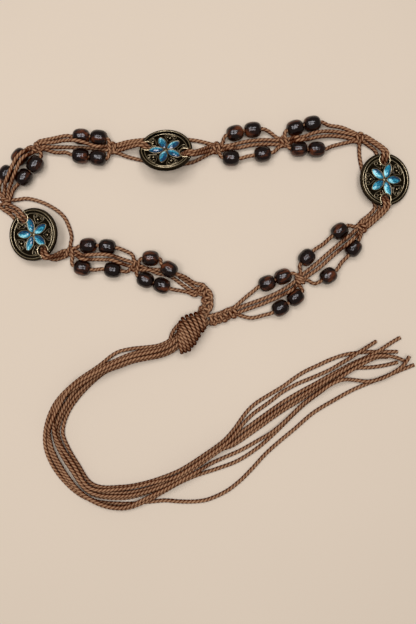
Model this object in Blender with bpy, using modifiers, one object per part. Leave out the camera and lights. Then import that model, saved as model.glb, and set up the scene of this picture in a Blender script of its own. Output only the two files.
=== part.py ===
"""A cord waist belt laid flat: four twisted cords, knotted in square knots, carry wooden beads in eight
groups of four and three pierced medallions. Both ends meet in one overhand knot, and eight cord ends
lie free below it. Tables are in millimetres and degrees, x to the right, y up the table, z up."""

import math
from collections import namedtuple

import bmesh
import bpy
from mathutils import Matrix, Vector

MM = 0.001
GAP = 0.3

CORD_DIAMETER = 3.0
CORD_RADIUS = CORD_DIAMETER / 2
CORD_STEP = 8.8
HELD_CORD_STEP = 11.0
HEIGHT_STEP = 2.2
SLACK = 0.42
RAISED = 8.0
HELD_CORD_ROUNDING = 1
FREE_CORD_ROUNDING = 2

BEAD_DIAMETER = 12.0
BEAD_LENGTH = 12.4
BEAD_BORE = 4.8
BEAD_FACE = 8.2
BEAD_BELLY = 0.42
BEAD_SIDES = 8

KNOT_LENGTH = 7.4
KNOT_WIDTH = 9.5
KNOT_HEIGHT = 6.6
KNOT_LANES = ((3.4, 4.5), (1.65, 1.7), (-1.65, 1.7), (-3.4, 4.5))
CENTRE_ABOVE_LANES = ((3.4, 1.7), (1.65, 4.7), (-1.65, 4.7), (-3.4, 1.7))
KNOTS_CENTRE_ABOVE = (4, 5)
STACKED_LANES = ((3.4, 3.2), (0.2, 4.6), (-0.2, 1.6), (-3.4, 3.2))
KNOTS_STACKED = (2, 6)
KNOT_REST = 4.0
CLOSE_STOPS = 2.5
KNOT_RIDGES = 2
LEFT_RIDGES = 4
RIGHT_RIDGES = 3
RIDGE_DEPTH = 0.12

DISC_RADIUS = 20.0
RIM_WIDTH = 2.0
RIM_TOP = 2.9
FIELD_TOP = 1.4
BAR_TOP = 1.0
HOLE_PLACE = 14.9
HOLE_RADIUS = 3.9
DISC_STEPS = 16
HOLE_SIDES = 10
PETAL_COUNT = 5
PETAL_FIRST = -19.0
PETAL_LENGTH = 11.4
PETAL_WIDTH = 6.2
PETAL_INNER = 1.5
STONE_TOP = 3.6

OVERHAND_WIDTH = 27.0
OVERHAND_HEIGHT = 21.0
OVERHAND_RIDGES = 7
OVERHAND_PRESSED = 1.6

Bead = namedtuple("Bead", "name x y z bore")
BEADS = [Bead(*row) for row in (
    ("1_outer_a", -35.2, 20.2, 6.0, 158), ("1_outer_b", -47.6, 24.4, 6.0, 156),
    ("1_inner_a", -29.4, 32.3, 9.5, 148), ("1_inner_b", -43.6, 40.8, 6.0, 180),
    ("2_outer_a", -72.5, 32.0, 6.0, 174), ("2_outer_b", -95.5, 33.5, 6.0, 168),
    ("2_inner_a", -76.5, 49.5, 6.0, 174), ("2_inner_b", -91.0, 50.4, 6.0, 182),
    ("3_outer_a", -153.3, 105.0, 6.0, 55), ("3_outer_b", -143.0, 118.0, 6.0, 50),
    ("3_inner_a", -140.0, 102.4, 6.0, 50), ("3_inner_b", -131.2, 112.0, 7.0, 52),
    ("4_outer_a", -96.4, 133.4, 6.0, 0), ("4_outer_b", -83.0, 132.5, 6.0, -6),
    ("4_inner_a", -96.8, 118.6, 6.0, -6), ("4_inner_b", -83.7, 117.2, 6.0, -6),
    ("5_outer_a", 20.5, 136.0, 6.0, 14), ("5_outer_b", 34.0, 138.5, 6.0, 6),
    ("5_inner_a", 17.5, 117.0, 6.0, -2), ("5_inner_b", 41.5, 120.0, 6.0, 8),
    ("6_outer_a", 66.2, 139.9, 6.0, 16), ("6_outer_b", 79.2, 143.1, 6.0, 11),
    ("6_inner_a", 69.0, 124.0, 6.0, 0), ("6_inner_b", 82.5, 123.5, 6.0, 2),
    ("7_outer_a", 110.5, 48.5, 6.0, 235), ("7_outer_b", 91.5, 27.5, 6.0, 214),
    ("7_inner_a", 100.0, 61.5, 6.0, 214), ("7_inner_b", 75.0, 41.5, 6.0, 225),
    ("8_outer_a", 66.5, 11.0, 6.0, 218), ("8_outer_b", 55.0, 3.0, 6.0, 211),
    ("8_inner_a", 57.0, 26.9, 6.0, 202), ("8_inner_b", 44.8, 21.8, 6.0, 202),
)]
BEAD = {bead.name: bead for bead in BEADS}

Knot = namedtuple("Knot", "x y heading lift", defaults=(0.0,))
KNOTS = {number: Knot(*row) for number, row in {
    2: (-55.0, 35.0, 158), 3: (-105.2, 45.3, 178), 4: (-155.0, 84.0, 80), 5: (-130.5, 124.5, 32, 3.2),
    6: (-73.0, 125.0, 358), 7: (6.5, 125.0, 0), 8: (58.0, 130.0, 8), 9: (115.5, 132.5, 345),
    10: (117.0, 64.5, 225), 11: (70.0, 24.5, 222),
}.items()}
LEFT_SENNIT = ((-5.2, -2.2), (-1.4, 3.5), (-0.5, 10.0), (-2.5, 15.0), (-7.0, 18.5))
RIGHT_SENNIT = ((22.5, 1.0), (15.5, -1.5), (9.5, -4.2), (0.6, -6.5))
OVERHAND_ENDS = ((-3.5, -4.8), (-22.6, -22.0))

Medallion = namedtuple("Medallion", "name x y z tilt raised notch")
MEDALLIONS = [Medallion(*row) for row in (
    ("left", -131.5, 58.5, 8.4, 16, 0, 124.5),
    ("top", -31.7, 121.1, 10.5, 30, 270, -13),
    ("right", 134.1, 100.6, 4.6, 12, 180, 91.5),
)]
MEDALLION = {medallion.name: medallion for medallion in MEDALLIONS}

# Along the notch line of a medallion: distance from its centre and height over its back.
NOTCH_STEPS = ((21.5, 3.1), (17.3, 3.2), (12.7, -1.7), (9.0, -2.3))
NOTCH_LANE = 1.65

# One row for each run of four cords between two knots, outer side first. A text names a bead or a
# medallion lane that the cord passes through, and a triple is a point on the way.
RUNS = {
    1: (
        ((-9.0, 12.2, 3.0), (-15.0, 15.0, 3.0), (-22.5, 16.5, 3.5), "1_outer_a", "1_outer_b"),
        ((-9.5, 15.0, 2.0), (-15.5, 18.0, 1.5), (-20.5, 21.5, 1.5), (-26.0, 25.5, 1.5), (-32.0, 28.4, 1.5),
         (-38.5, 29.4, 2.0), (-45.0, 32.2, 4.6)),
        ((-8.5, 17.6, 2.0), (-14.0, 21.5, 1.5), (-19.5, 25.5, 1.5), (-25.0, 29.5, 1.5), (-31.0, 32.0, 1.5),
         (-38.0, 32.4, 1.5), (-45.0, 33.0, 1.5)),
        ((-10.0, 22.0, 3.5), (-18.5, 27.2, 7.5), "1_inner_a", "1_inner_b"),
    ),
    2: (
        ((-61.5, 30.5, 4.0), "2_outer_a", (-84.5, 32.3, 4.0), "2_outer_b"),
        ((-60.0, 35.0, 3.0), (-65.0, 36.5, 3.5), (-71.5, 39.0, 6.0), (-78.5, 39.8, 6.0), (-88.0, 40.0, 5.0),
         (-95.5, 40.0, 2.5)),
        ((-59.5, 38.5, 3.0), (-64.5, 40.0, 3.5), (-72.0, 42.5, 6.0), (-80.0, 43.5, 6.0), (-89.0, 43.3, 5.0),
         (-95.5, 43.2, 2.5)),
        ((-57.5, 43.5, 3.0), (-62.5, 46.3, 4.0), "2_inner_a", "2_inner_b"),
    ),
    3: (
        ((-111.0, 41.0, 2.0), (-118.0, 40.0, 1.5), (-126.0, 43.5, 1.5), (-136.5, 52.5, 1.5),
         (-142.8, 62.6, 1.5), (-146.8, 69.7, 1.5), (-151.7, 75.0, 1.5)),
        "left lane -1",
        "left lane 1",
        ((-105.5, 51.0, 2.0), (-104.5, 57.0, 1.5), (-106.5, 65.0, 1.5), (-110.5, 73.0, 1.5),
         (-117.8, 79.2, 1.5), (-128.4, 84.5, 1.5), (-139.3, 87.0, 1.5), (-147.4, 85.8, 2.0)),
    ),
    4: (
        ((-159.5, 92.0, 4.0), "3_outer_a", "3_outer_b"),
        ((-154.5, 93.5, 6.0), (-150.5, 101.5, 9.0), (-147.0, 109.5, 9.0), (-143.0, 116.2, 9.0)),
        ((-151.5, 93.5, 6.0), (-147.2, 101.0, 9.0), (-143.8, 108.2, 9.0), (-140.4, 114.4, 9.0)),
        ((-148.5, 93.5, 4.0), "3_inner_a", "3_inner_b"),
    ),
    5: (
        ((-118.0, 132.5, 4.0), (-107.5, 134.0, 6.0), "4_outer_a", "4_outer_b"),
        ((-117.0, 129.0, 6.0), (-108.5, 129.7, 9.0), (-99.5, 129.0, 10.0), (-90.5, 127.0, 8.0),
         (-83.0, 125.0, 4.4)),
        ((-117.0, 125.9, 3.5), (-108.5, 126.4, 1.5), (-99.5, 126.0, 1.5), (-91.0, 125.6, 1.5),
         (-83.0, 124.8, 1.5)),
        ((-117.0, 122.0, 3.0), (-107.5, 121.5, 5.0), "4_inner_a", "4_inner_b"),
    ),
    6: (
        ((-63.5, 130.0, 2.0), (-55.0, 131.5, 1.5), (-44.5, 132.2, 1.5), (-29.0, 132.2, 1.5),
         (-15.0, 132.0, 1.5), (-7.5, 131.0, 2.0)),
        "top lane 1",
        "top lane -1",
        ((-62.0, 119.0, 2.0), (-51.5, 116.5, 1.5), (-40.5, 114.0, 1.5), (-25.5, 113.0, 1.5),
         (-13.0, 114.5, 1.5), (-6.0, 117.5, 2.0)),
    ),
    7: (
        ("5_outer_a", "5_outer_b", (46.0, 138.0, 4.0)),
        ((17.5, 127.5, 3.5), (25.5, 129.5, 3.5), (34.5, 131.0, 3.5), (44.5, 131.5, 3.5)),
        ((18.5, 124.2, 3.5), (27.0, 126.2, 3.5), (36.0, 127.7, 4.0), (45.5, 128.2, 3.5)),
        ("5_inner_a", (29.5, 118.5, 5.0), "5_inner_b"),
    ),
    8: (
        ("6_outer_a", "6_outer_b", (91.5, 142.5, 4.0), (102.0, 141.0, 3.5)),
        ((71.5, 133.0, 6.0), (81.5, 136.0, 8.0), (91.5, 137.7, 5.0), (102.0, 137.2, 3.5)),
        ((71.5, 129.7, 6.0), (81.5, 132.7, 6.0), (91.5, 134.4, 4.0), (102.0, 133.9, 3.5)),
        ("6_inner_a", "6_inner_b", (93.0, 126.0, 4.0), (102.0, 128.5, 3.5)),
    ),
    9: (
        "right lane -1",
        "right lane 1",
        ((122.8, 127.6, 2.0), (128.4, 123.4, 1.5), (130.0, 116.5, 1.5), (129.1, 106.0, 1.5),
         (129.0, 95.0, 1.5), (130.0, 86.0, 1.5), (131.6, 79.5, 1.5), (126.8, 73.0, 2.0)),
        ((115.8, 124.0, 2.0), (116.5, 117.0, 1.5), (118.5, 107.5, 1.5), (120.5, 97.5, 1.5),
         (124.5, 88.5, 1.5), (128.4, 81.0, 1.5), (124.6, 75.4, 1.5)),
    ),
    10: (
        ((117.3, 57.8, 3.5), "7_outer_a", (101.5, 37.5, 5.0), "7_outer_b", (81.0, 21.5, 4.0)),
        ((104.5, 50.8, 3.5), (94.5, 42.3, 3.5), (84.5, 33.3, 3.5)),
        ((101.8, 53.3, 3.5), (91.7, 44.8, 3.5), (81.5, 35.8, 3.5)),
        ((107.5, 66.2, 4.0), "7_inner_a", (88.0, 51.8, 4.5), "7_inner_b"),
    ),
    11: (
        ("8_outer_a", "8_outer_b", (43.0, -2.3, 4.0), (33.0, -4.6, 3.5)),
        ((61.5, 15.6, 3.5), (52.5, 10.8, 3.5), (41.0, 6.0, 3.5), (31.5, 2.6, 3.5)),
        ((59.5, 18.3, 3.5), (50.8, 13.6, 3.5), (39.8, 9.2, 3.5), (30.5, 5.9, 3.5)),
        ("8_inner_a", "8_inner_b", (36.0, 17.0, 4.0), (28.5, 11.0, 3.5)),
    ),
}

# The eight cord ends leave the overhand knot as one bundle along this line, then fan out.
BUNDLE_LINE = (
    (-23.2, -22.6), (-28.5, -27.0), (-37.0, -30.5), (-46.0, -32.5), (-57.0, -35.0), (-67.5, -38.5),
    (-81.5, -45.0), (-98.0, -58.5), (-111.0, -73.5), (-117.0, -90.5), (-116.0, -104.5), (-106.0, -122.0),
    (-89.5, -135.5), (-66.5, -141.0), (-44.5, -137.5),
)
# Where each end lies across the bundle at each of its stations, positive towards the inner side.
LANES = {
    8: (-4.95, -4.95, -4.95, -5.6, -7.0, -7.7, -4.2, -5.9, -7.0, -7.6, -8.2, -8.3, -8.2, -6.0, -8.0),
    1: (1.65, 1.65, 1.65, 1.5, 1.4, 1.5, 2.4, 3.4, 4.9, 5.6, 8.0, 8.1, 3.4, 6.9, 7.2),
    5: (-1.65, -1.65, -1.65, -1.8, -1.9, -1.8, -0.9, 0.1, -0.6, -1.2, 1.2, 1.5, -3.3, -1.9, -0.4),
    3: (3.3, 3.3, 3.3, 3.1, 2.8, 3.0, 2.2, 1.8, 2.6, 2.3, 4.8, 4.9, 0.2, 2.4, 2.8),
    7: (-3.3, -3.3, -3.3, -3.5, -3.4, -2.7, -2.5, -3.1, -3.9, -4.5, -5.0, -5.1, -7.0, -9.2, -5.2),
    4: (0.0, 0.0, 0.0, -0.1, -0.3, -0.1, 0.7, -1.2, 1.0, 0.6, 2.4, 3.2, -1.5, 0.4, 1.4),
    2: (1.65, 1.65, 1.65, 1.5, 1.2, 1.4, 0.8, -2.2, -5.2, 0.8, 5.4, 6.6, 1.8, 6.2, 6.6),
    6: (-1.65, -1.65, -1.65, -1.7, -1.7, -1.4, -1.0, -4.4, -2.2, -3.0, -2.4, -2.5, -5.2, -7.5, -2.4),
}
# Laid down in this order, so that a later end lies over an earlier one.
END_ROUTES = {
    8: ((-33.0, -144.5), (-24.0, -145.2), (-14.5, -145.5), (-6.0, -145.0), (1.0, -143.5), (14.0, -137.5),
        (24.5, -129.5), (33.5, -120.5), (44.0, -109.0), (54.5, -99.5), (66.0, -90.0), (80.5, -77.5),
        (96.0, -68.0), (111.5, -59.5), (124.5, -54.0), (137.5, -48.8), (147.5, -44.7), (158.0, -40.5)),
    1: ((-24.0, -122.6), (-13.0, -116.3), (-2.0, -109.0), (10.0, -100.5), (15.6, -95.2), (21.2, -88.4),
        (26.2, -81.2), (31.6, -74.5), (37.7, -69.3), (46.5, -63.8), (58.0, -56.8), (65.3, -51.4),
        (74.2, -45.7), (84.7, -40.8), (93.5, -36.7), (105.0, -32.8), (114.5, -31.3), (124.5, -30.5),
        (135.0, -30.5), (145.5, -30.5)),
    5: ((-27.0, -130.8), (-14.5, -122.5), (-2.0, -114.1), (10.0, -105.6), (17.8, -103.0), (24.6, -98.9),
        (32.3, -93.5), (41.6, -86.9), (49.3, -81.3), (57.8, -75.5), (70.6, -67.6), (85.5, -57.8),
        (98.5, -48.9), (111.5, -43.5), (124.5, -42.5), (135.0, -41.0), (145.5, -38.5)),
    3: ((-25.5, -126.8), (-13.5, -119.4), (-2.0, -111.6), (10.0, -103.2), (17.0, -98.6), (24.6, -92.6),
        (32.3, -87.0), (41.6, -80.3), (49.3, -74.7), (57.8, -68.9), (70.6, -61.2), (82.9, -54.6),
        (93.5, -48.3), (109.0, -40.2), (119.0, -35.5), (128.5, -30.5), (138.0, -25.0), (147.5, -19.5)),
    7: ((-29.0, -134.5), (-20.0, -129.5), (-8.0, -125.0), (7.5, -120.0), (23.0, -114.0), (39.0, -103.5),
        (52.0, -92.0), (62.0, -82.0), (72.5, -72.0), (85.5, -61.5), (98.5, -51.5), (110.5, -43.7),
        (121.0, -38.0), (129.0, -34.8), (138.0, -34.5)),
    4: ((-26.5, -128.8), (-14.0, -121.0), (-2.0, -112.9), (10.0, -104.5), (17.4, -100.9), (24.6, -95.8),
        (32.3, -90.3), (41.6, -83.6), (49.3, -78.0), (57.8, -72.2), (70.6, -64.4), (85.5, -55.3),
        (101.0, -45.3), (115.5, -37.5), (128.5, -33.2), (141.5, -34.2), (150.5, -37.5)),
    2: ((-24.5, -124.6), (-13.0, -117.8), (-2.0, -110.3), (10.0, -101.9), (16.2, -97.3), (22.3, -91.0),
        (27.7, -84.5), (35.2, -77.6), (43.1, -72.0), (49.3, -67.4), (56.2, -62.0), (62.4, -58.3),
        (68.5, -55.1), (75.8, -52.1), (84.7, -48.4), (95.2, -43.5), (106.0, -36.8), (115.0, -30.7),
        (129.0, -22.5)),
    6: ((-27.5, -131.4), (-17.0, -125.4), (-8.0, -120.6), (-0.8, -117.4), (11.4, -112.0), (25.5, -105.8),
        (37.8, -98.8), (48.4, -92.0), (56.5, -85.4), (63.5, -78.8), (72.5, -70.0), (85.5, -60.2),
        (94.5, -54.2), (103.0, -51.3), (113.0, -52.2), (122.5, -53.0), (132.0, -50.8), (139.5, -47.3),
        (146.5, -42.5), (150.5, -38.0), (153.0, -33.5)),
}


def clear_scene():
    for thing in list(bpy.data.objects):
        bpy.data.objects.remove(thing, do_unlink=True)


def finish(name, colour, roughness, metallic):
    """A Principled material for one kind of piece."""
    material = bpy.data.materials.new(name)
    material.use_nodes = True
    shader = material.node_tree.nodes["Principled BSDF"]
    shader.inputs["Base Color"].default_value = (*colour, 1.0)
    shader.inputs["Roughness"].default_value = roughness
    shader.inputs["Metallic"].default_value = metallic
    return material


def add_object(name, data, collection):
    thing = bpy.data.objects.new(name, data)
    collection.objects.link(thing)
    return thing


def keep_mesh(thing, name, collection, material=None):
    """Turns an object, its modifiers and its place into a plain mesh object, and removes the original."""
    bpy.context.view_layer.update()
    seen = thing.evaluated_get(bpy.context.evaluated_depsgraph_get())
    mesh = bpy.data.meshes.new_from_object(seen)
    mesh.transform(thing.matrix_world)
    bpy.data.objects.remove(thing, do_unlink=True)
    form = bmesh.new()
    form.from_mesh(mesh)
    bmesh.ops.remove_doubles(form, verts=form.verts, dist=0.01 * MM)
    form.to_mesh(mesh)
    form.free()
    mesh.name = name
    mesh.materials.clear()
    if material:
        mesh.materials.append(material)
    mesh.shade_smooth()
    mesh.set_sharp_from_angle(angle=math.radians(40))
    return add_object(name, mesh, collection)


def join_solids(first, others):
    """Adds a union with each other solid to the first one. The others are left as cutters."""
    for other in others:
        join = first.modifiers.new("Join " + other.name, "BOOLEAN")
        join.operation = "UNION"
        join.object = other
        join.use_self = True
        hide_cutter(other)


def cut_away(body, cutter):
    cut = body.modifiers.new("Cut " + cutter.name, "BOOLEAN")
    cut.operation = "DIFFERENCE"
    cut.object = cutter
    hide_cutter(cutter)


def hide_cutter(cutter):
    cutter.hide_render = True
    cutter.display_type = "WIRE"


def tube(name, points, rounding, collection, radii=None):
    """A round cord or body as a curve with filled caps: points in millimetres, radii as a share."""
    curve = bpy.data.curves.new(name, "CURVE")
    curve.dimensions = "3D"
    curve.bevel_depth = CORD_RADIUS * MM
    curve.bevel_resolution = rounding
    curve.use_fill_caps = True
    curve.resolution_u = 1
    curve.render_resolution_u = 0
    spline = curve.splines.new("POLY")
    spline.points.add(len(points) - 1)
    for index, point in enumerate(points):
        spline.points[index].co = (*(point * MM), 1.0)
        spline.points[index].radius = radii[index] if radii else 1.0
    return add_object(name, curve, collection)


def unit(degrees):
    return Vector((math.cos(math.radians(degrees)), math.sin(math.radians(degrees)), 0.0))


def hermite(start, leave, end, arrive, share):
    """A point on the cubic between two places with their directions of travel."""
    reach = (end - start).length
    square, cube = share**2, share**3
    return (
        start * (2 * cube - 3 * square + 1)
        + leave * reach * (cube - 2 * square + share)
        + end * (3 * square - 2 * cube)
        + arrive * reach * (cube - square)
    )


def smooth_line(stops, step):
    """Points along a smooth line through stops, each a place and a direction or None. Two stops that
    share their direction object are the ends of a bore, and the line between them is straight."""
    places = [place for place, _ in stops]
    headings = []
    for index, (place, heading) in enumerate(stops):
        ahead = places[min(index + 1, len(places) - 1)]
        behind = places[max(index - 1, 0)]
        headings.append(heading or (ahead - behind).normalized())
    line = [places[0].copy()]
    for index in range(len(stops) - 1):
        start, end = places[index], places[index + 1]
        count = max(1, round((end - start).length / step))
        if stops[index][1] is not None and stops[index][1] is stops[index + 1][1]:
            count = 1
        for number in range(1, count + 1):
            share = number / count
            line.append(hermite(start, headings[index], end, headings[index + 1], share))
    return line


def bead_stops(bead):
    """The two ends of a bead's bore, just outside its faces."""
    along = unit(bead.bore)
    middle = Vector((bead.x, bead.y, bead.z))
    reach = BEAD_LENGTH / 2 + 0.7
    return [(middle - along * reach, along), (middle + along * reach, along)]


def disc_place(medallion):
    """The matrix from a medallion's own frame, notch line along X and back at z = 0, to the table."""
    raised = unit(medallion.raised)
    tilt = Matrix.Rotation(math.radians(medallion.tilt), 4, raised.cross(Vector((0, 0, 1))))
    turn = Matrix.Rotation(math.radians(medallion.notch), 4, "Z")
    return Matrix.Translation((medallion.x, medallion.y, medallion.z)) @ tilt @ turn


def lane_stops(text, entry):
    """A cord's way over a medallion's bar, down its hole, behind it and out over the other bar."""
    name, _, side = text.split()
    medallion = MEDALLION[name]
    place = disc_place(medallion)
    across = NOTCH_LANE * int(side)
    steps = [(along, height) for along, height in NOTCH_STEPS]
    steps += [(-along, height) for along, height in reversed(NOTCH_STEPS)]
    stops = [(place @ Vector((along, across, height)), None) for along, height in steps]
    if (stops[0][0] - entry).length > (stops[-1][0] - entry).length:
        stops.reverse()
    return stops


def knot_point(knot, along, across, height):
    """A point near a knot, from its middle: along its heading, to its left and over the table."""
    forward = unit(knot.heading)
    left = unit(knot.heading + 90)
    middle = Vector((knot.x, knot.y, 0.0))
    return middle + forward * along + left * across + Vector((0, 0, height + knot.lift))


def first_knot(number):
    """The knot that a run of cords starts from. The first run starts from the left sennit."""
    if number > 1:
        return KNOTS[number], KNOT_LENGTH / 2 - 2.4
    end, before = Vector(LEFT_SENNIT[-1]), Vector(LEFT_SENNIT[-2])
    heading = math.degrees(math.atan2(*(end - before).yx))
    return Knot(end.x, end.y, heading), -2.0


def last_knot(number):
    if number < 11:
        return KNOTS[number + 1], -KNOT_LENGTH / 2
    start, after = Vector(RIGHT_SENNIT[0]), Vector(RIGHT_SENNIT[1])
    heading = math.degrees(math.atan2(*(after - start).yx))
    return Knot(start.x, start.y, heading), 0.0


def knot_lane(number, lane):
    """Where a cord meets a knot: across its line and over the table."""
    if number in KNOTS_STACKED:
        return STACKED_LANES[lane]
    return (CENTRE_ABOVE_LANES if number in KNOTS_CENTRE_ABOVE else KNOT_LANES)[lane]


def run_stops(number, lane):
    """All stops of one cord from inside its first knot to just short of the next knot."""
    knot, inside = first_knot(number)
    following, face = last_knot(number)
    across, height = knot_lane(number, lane)
    stops = [(knot_point(knot, inside, across, height), None)]
    row = RUNS[number][lane]
    for item in (row,) if isinstance(row, str) else row:
        if not isinstance(item, str):
            stops.append((Vector(item), None))
        elif item in BEAD:
            stops += bead_stops(BEAD[item])
        else:
            stops += lane_stops(item, stops[0][0])
    across, height = knot_lane(number + 1, lane)
    stops += arrival(following, face, across, height, stops[-1][0])
    return merged(stops)


def arrival(knot, face, across, height, before):
    """The last stop of a cord: at the back of its knot, or at its side when it comes from beyond that.
    A cord that comes from a bead close beside the knot needs none."""
    back = knot_point(knot, face - GAP, across, height)
    forward = unit(knot.heading)
    offset = Vector((before.x - knot.x, before.y - knot.y, 0.0))
    along, aside = offset.dot(forward), offset.dot(unit(knot.heading + 90))
    if along < face - CLOSE_STOPS:
        return [(back, forward)]
    if abs(aside) < KNOT_WIDTH / 2 + CORD_RADIUS + CLOSE_STOPS:
        return []
    side = math.copysign(1.0, aside)
    place = knot_point(knot, min(along + 3.0, 1.5), side * (KNOT_WIDTH / 2 + GAP), KNOT_HEIGHT / 2)
    return [(place, unit(knot.heading - 90 * side))]


def merged(stops):
    """The stops with each close pair, such as the facing bores of two beads, made one."""
    kept = [stops[0]]
    for place, heading in stops[1:]:
        if (place - kept[-1][0]).length < CLOSE_STOPS:
            kept[-1] = ((place + kept[-1][0]) / 2, None)
        else:
            kept.append((place, heading))
    return kept


def over_bead(bead, point):
    """The height at which a cord's middle clears a bead, or zero away from it."""
    offset = Vector((point.x - bead.x, point.y - bead.y, 0.0))
    along = offset.dot(unit(bead.bore))
    across = offset.dot(unit(bead.bore + 90))
    half, room = BEAD_LENGTH / 2, CORD_RADIUS + GAP + 0.2
    if abs(along) > half + room:
        return 0.0
    belly = BEAD_DIAMETER / 2 / math.cos(math.pi / BEAD_SIDES)
    taper = min(1.0, max(0.0, (abs(along) / half - BEAD_BELLY) / (1 - BEAD_BELLY)))
    past = max(0.0, abs(along) - half)
    clear = belly + (BEAD_FACE / 2 - belly) * taper + math.sqrt(room**2 - past**2)
    if abs(across) > clear:
        return 0.0
    if across**2 + (bead.z - point.z) ** 2 >= clear**2:
        return 0.0
    return bead.z + math.sqrt(clear**2 - across**2)


def over_cord(other, point):
    """The height at which a cord's middle clears the samples of one that lies already."""
    pitch = CORD_DIAMETER + GAP + 0.05
    height = 0.0
    for sample in other:
        apart = (sample.xy - point.xy).length
        if apart < pitch:
            height = max(height, sample.z + math.sqrt(pitch**2 - apart**2))
    return height


def eased(heights, reach=2):
    """The upper envelope of a row of heights, smoothed: nowhere lower than the row itself."""
    count = len(heights)
    spread = [max(heights[max(0, i - reach):i + reach + 1]) for i in range(count)]
    return [
        sum(spread[max(0, i - reach):i + reach + 1]) / len(spread[max(0, i - reach):i + reach + 1])
        for i in range(count)
    ]


def lay(line, others, beads, held=0.0):
    """Lifts a line of points over the beads and cords that lie under it, but not its held ends."""
    needed = []
    for point in line:
        rest = [CORD_RADIUS]
        if min((point - line[0]).length, (point - line[-1]).length) >= held:
            rest += [over_cord(other, point) for other in others]
            rest += [over_bead(bead, point) for bead in beads]
        needed.append(max(rest))
    lifted = eased(needed)
    laid = []
    for point, height in zip(line, lifted):
        near = min((point - line[0]).length, (point - line[-1]).length)
        share = min(1.0, near / held) if held else 1.0
        laid.append(Vector((point.x, point.y, point.z + max(0.0, height - point.z) * share)))
    return laid


def thinned(line, step):
    """Every so many points of a fine line, with both ends kept."""
    skip = max(1, round(step / HEIGHT_STEP))
    kept = line[:-1:skip]
    if (line[-1] - kept[-1]).length < step / 3 and len(kept) > 2:
        kept.pop()
    return [*kept, line[-1]]


def simplified(line, slack):
    """The fewest points of a fine line that keep within a slack of it."""
    first, reach = line[0], line[-1] - line[0]
    worst, place = slack, None
    for index, point in enumerate(line[1:-1], 1):
        share = (point - first).dot(reach) / reach.length_squared
        off = (point - first - reach * min(1.0, max(0.0, share))).length
        if off > worst:
            worst, place = off, index
    if place is None:
        return [line[0], line[-1]]
    return simplified(line[:place + 1], slack)[:-1] + simplified(line[place:], slack)


def ridged_body(name, line, width, height, ridges, collection):
    """A knot as a thick flattened tube along a line, with a ridge for each turn of cord round it."""
    ends = [(Vector((*point, 0.0)), None) for point in line]
    length = sum((b - a).length for (a, _), (b, _) in zip(ends, ends[1:]))
    path = smooth_line(ends, length / (2 * ridges))
    radii = []
    for index in range(len(path)):
        share = index / (len(path) - 1)
        wave = 1 - RIDGE_DEPTH * (0.5 + 0.5 * math.cos(2 * math.pi * ridges * share))
        shoulder = min(1.0, 0.6 + 2.0 * min(share, 1 - share))
        radii.append(width / CORD_DIAMETER * wave * shoulder)
    body = tube(name, path, FREE_CORD_ROUNDING, collection, radii)
    body.scale.z = height / width
    body.location.z = height / 2 * MM
    return body


def make_bead(bead, collection, material):
    """A barrel with a bore, turned round its own axis and laid along the cord."""
    face, half = BEAD_FACE / 2, BEAD_LENGTH / 2
    bore, belly = BEAD_BORE / 2, BEAD_DIAMETER / 2 / math.cos(math.pi / BEAD_SIDES)
    profile = (
        (bore, -half), (face, -half), (belly, -half * BEAD_BELLY),
        (belly, half * BEAD_BELLY), (face, half), (bore, half),
    )
    mesh = bpy.data.meshes.new("bead_" + bead.name)
    corners = [(radius * MM, 0.0, -height * MM) for radius, height in profile]
    edges = [(i, (i + 1) % len(corners)) for i in range(len(corners))]
    mesh.from_pydata(corners, edges, [])
    thing = add_object("bead_" + bead.name, mesh, collection)
    turn = thing.modifiers.new("Turn", "SCREW")
    turn.axis = "Z"
    turn.steps = BEAD_SIDES
    turn.render_steps = BEAD_SIDES
    turn.use_merge_vertices = True
    turn.merge_threshold = 0.01 * MM
    turn.use_normal_calculate = True
    half_side = math.pi / BEAD_SIDES
    lie = Matrix.Rotation(math.radians(bead.bore), 4, "Z") @ Matrix.Rotation(math.pi / 2, 4, "Y")
    lie = lie @ Matrix.Rotation(half_side, 4, "Z")
    thing.matrix_world = Matrix.Translation(Vector((bead.x, bead.y, bead.z)) * MM) @ lie
    return keep_mesh(thing, "bead_" + bead.name, collection, material)


def disc_body(name, collection):
    """The medallion's turned disc: a raised rim and a field over a flat back."""
    inside = DISC_RADIUS - RIM_WIDTH
    profile = (
        (0.0, FIELD_TOP), (inside - 0.4, FIELD_TOP), (inside, RIM_TOP), (DISC_RADIUS, RIM_TOP),
        (DISC_RADIUS, 0.0), (0.0, 0.0),
    )
    mesh = bpy.data.meshes.new(name)
    corners = [(radius * MM, 0.0, height * MM) for radius, height in profile]
    mesh.from_pydata(corners, [(i, i + 1) for i in range(len(corners) - 1)], [])
    disc = add_object(name, mesh, collection)
    turn = disc.modifiers.new("Turn", "SCREW")
    turn.axis = "Z"
    turn.steps = DISC_STEPS
    turn.render_steps = DISC_STEPS
    turn.use_merge_vertices = True
    turn.merge_threshold = 0.01 * MM
    turn.use_normal_calculate = True
    return keep_mesh(disc, name, collection)


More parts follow.
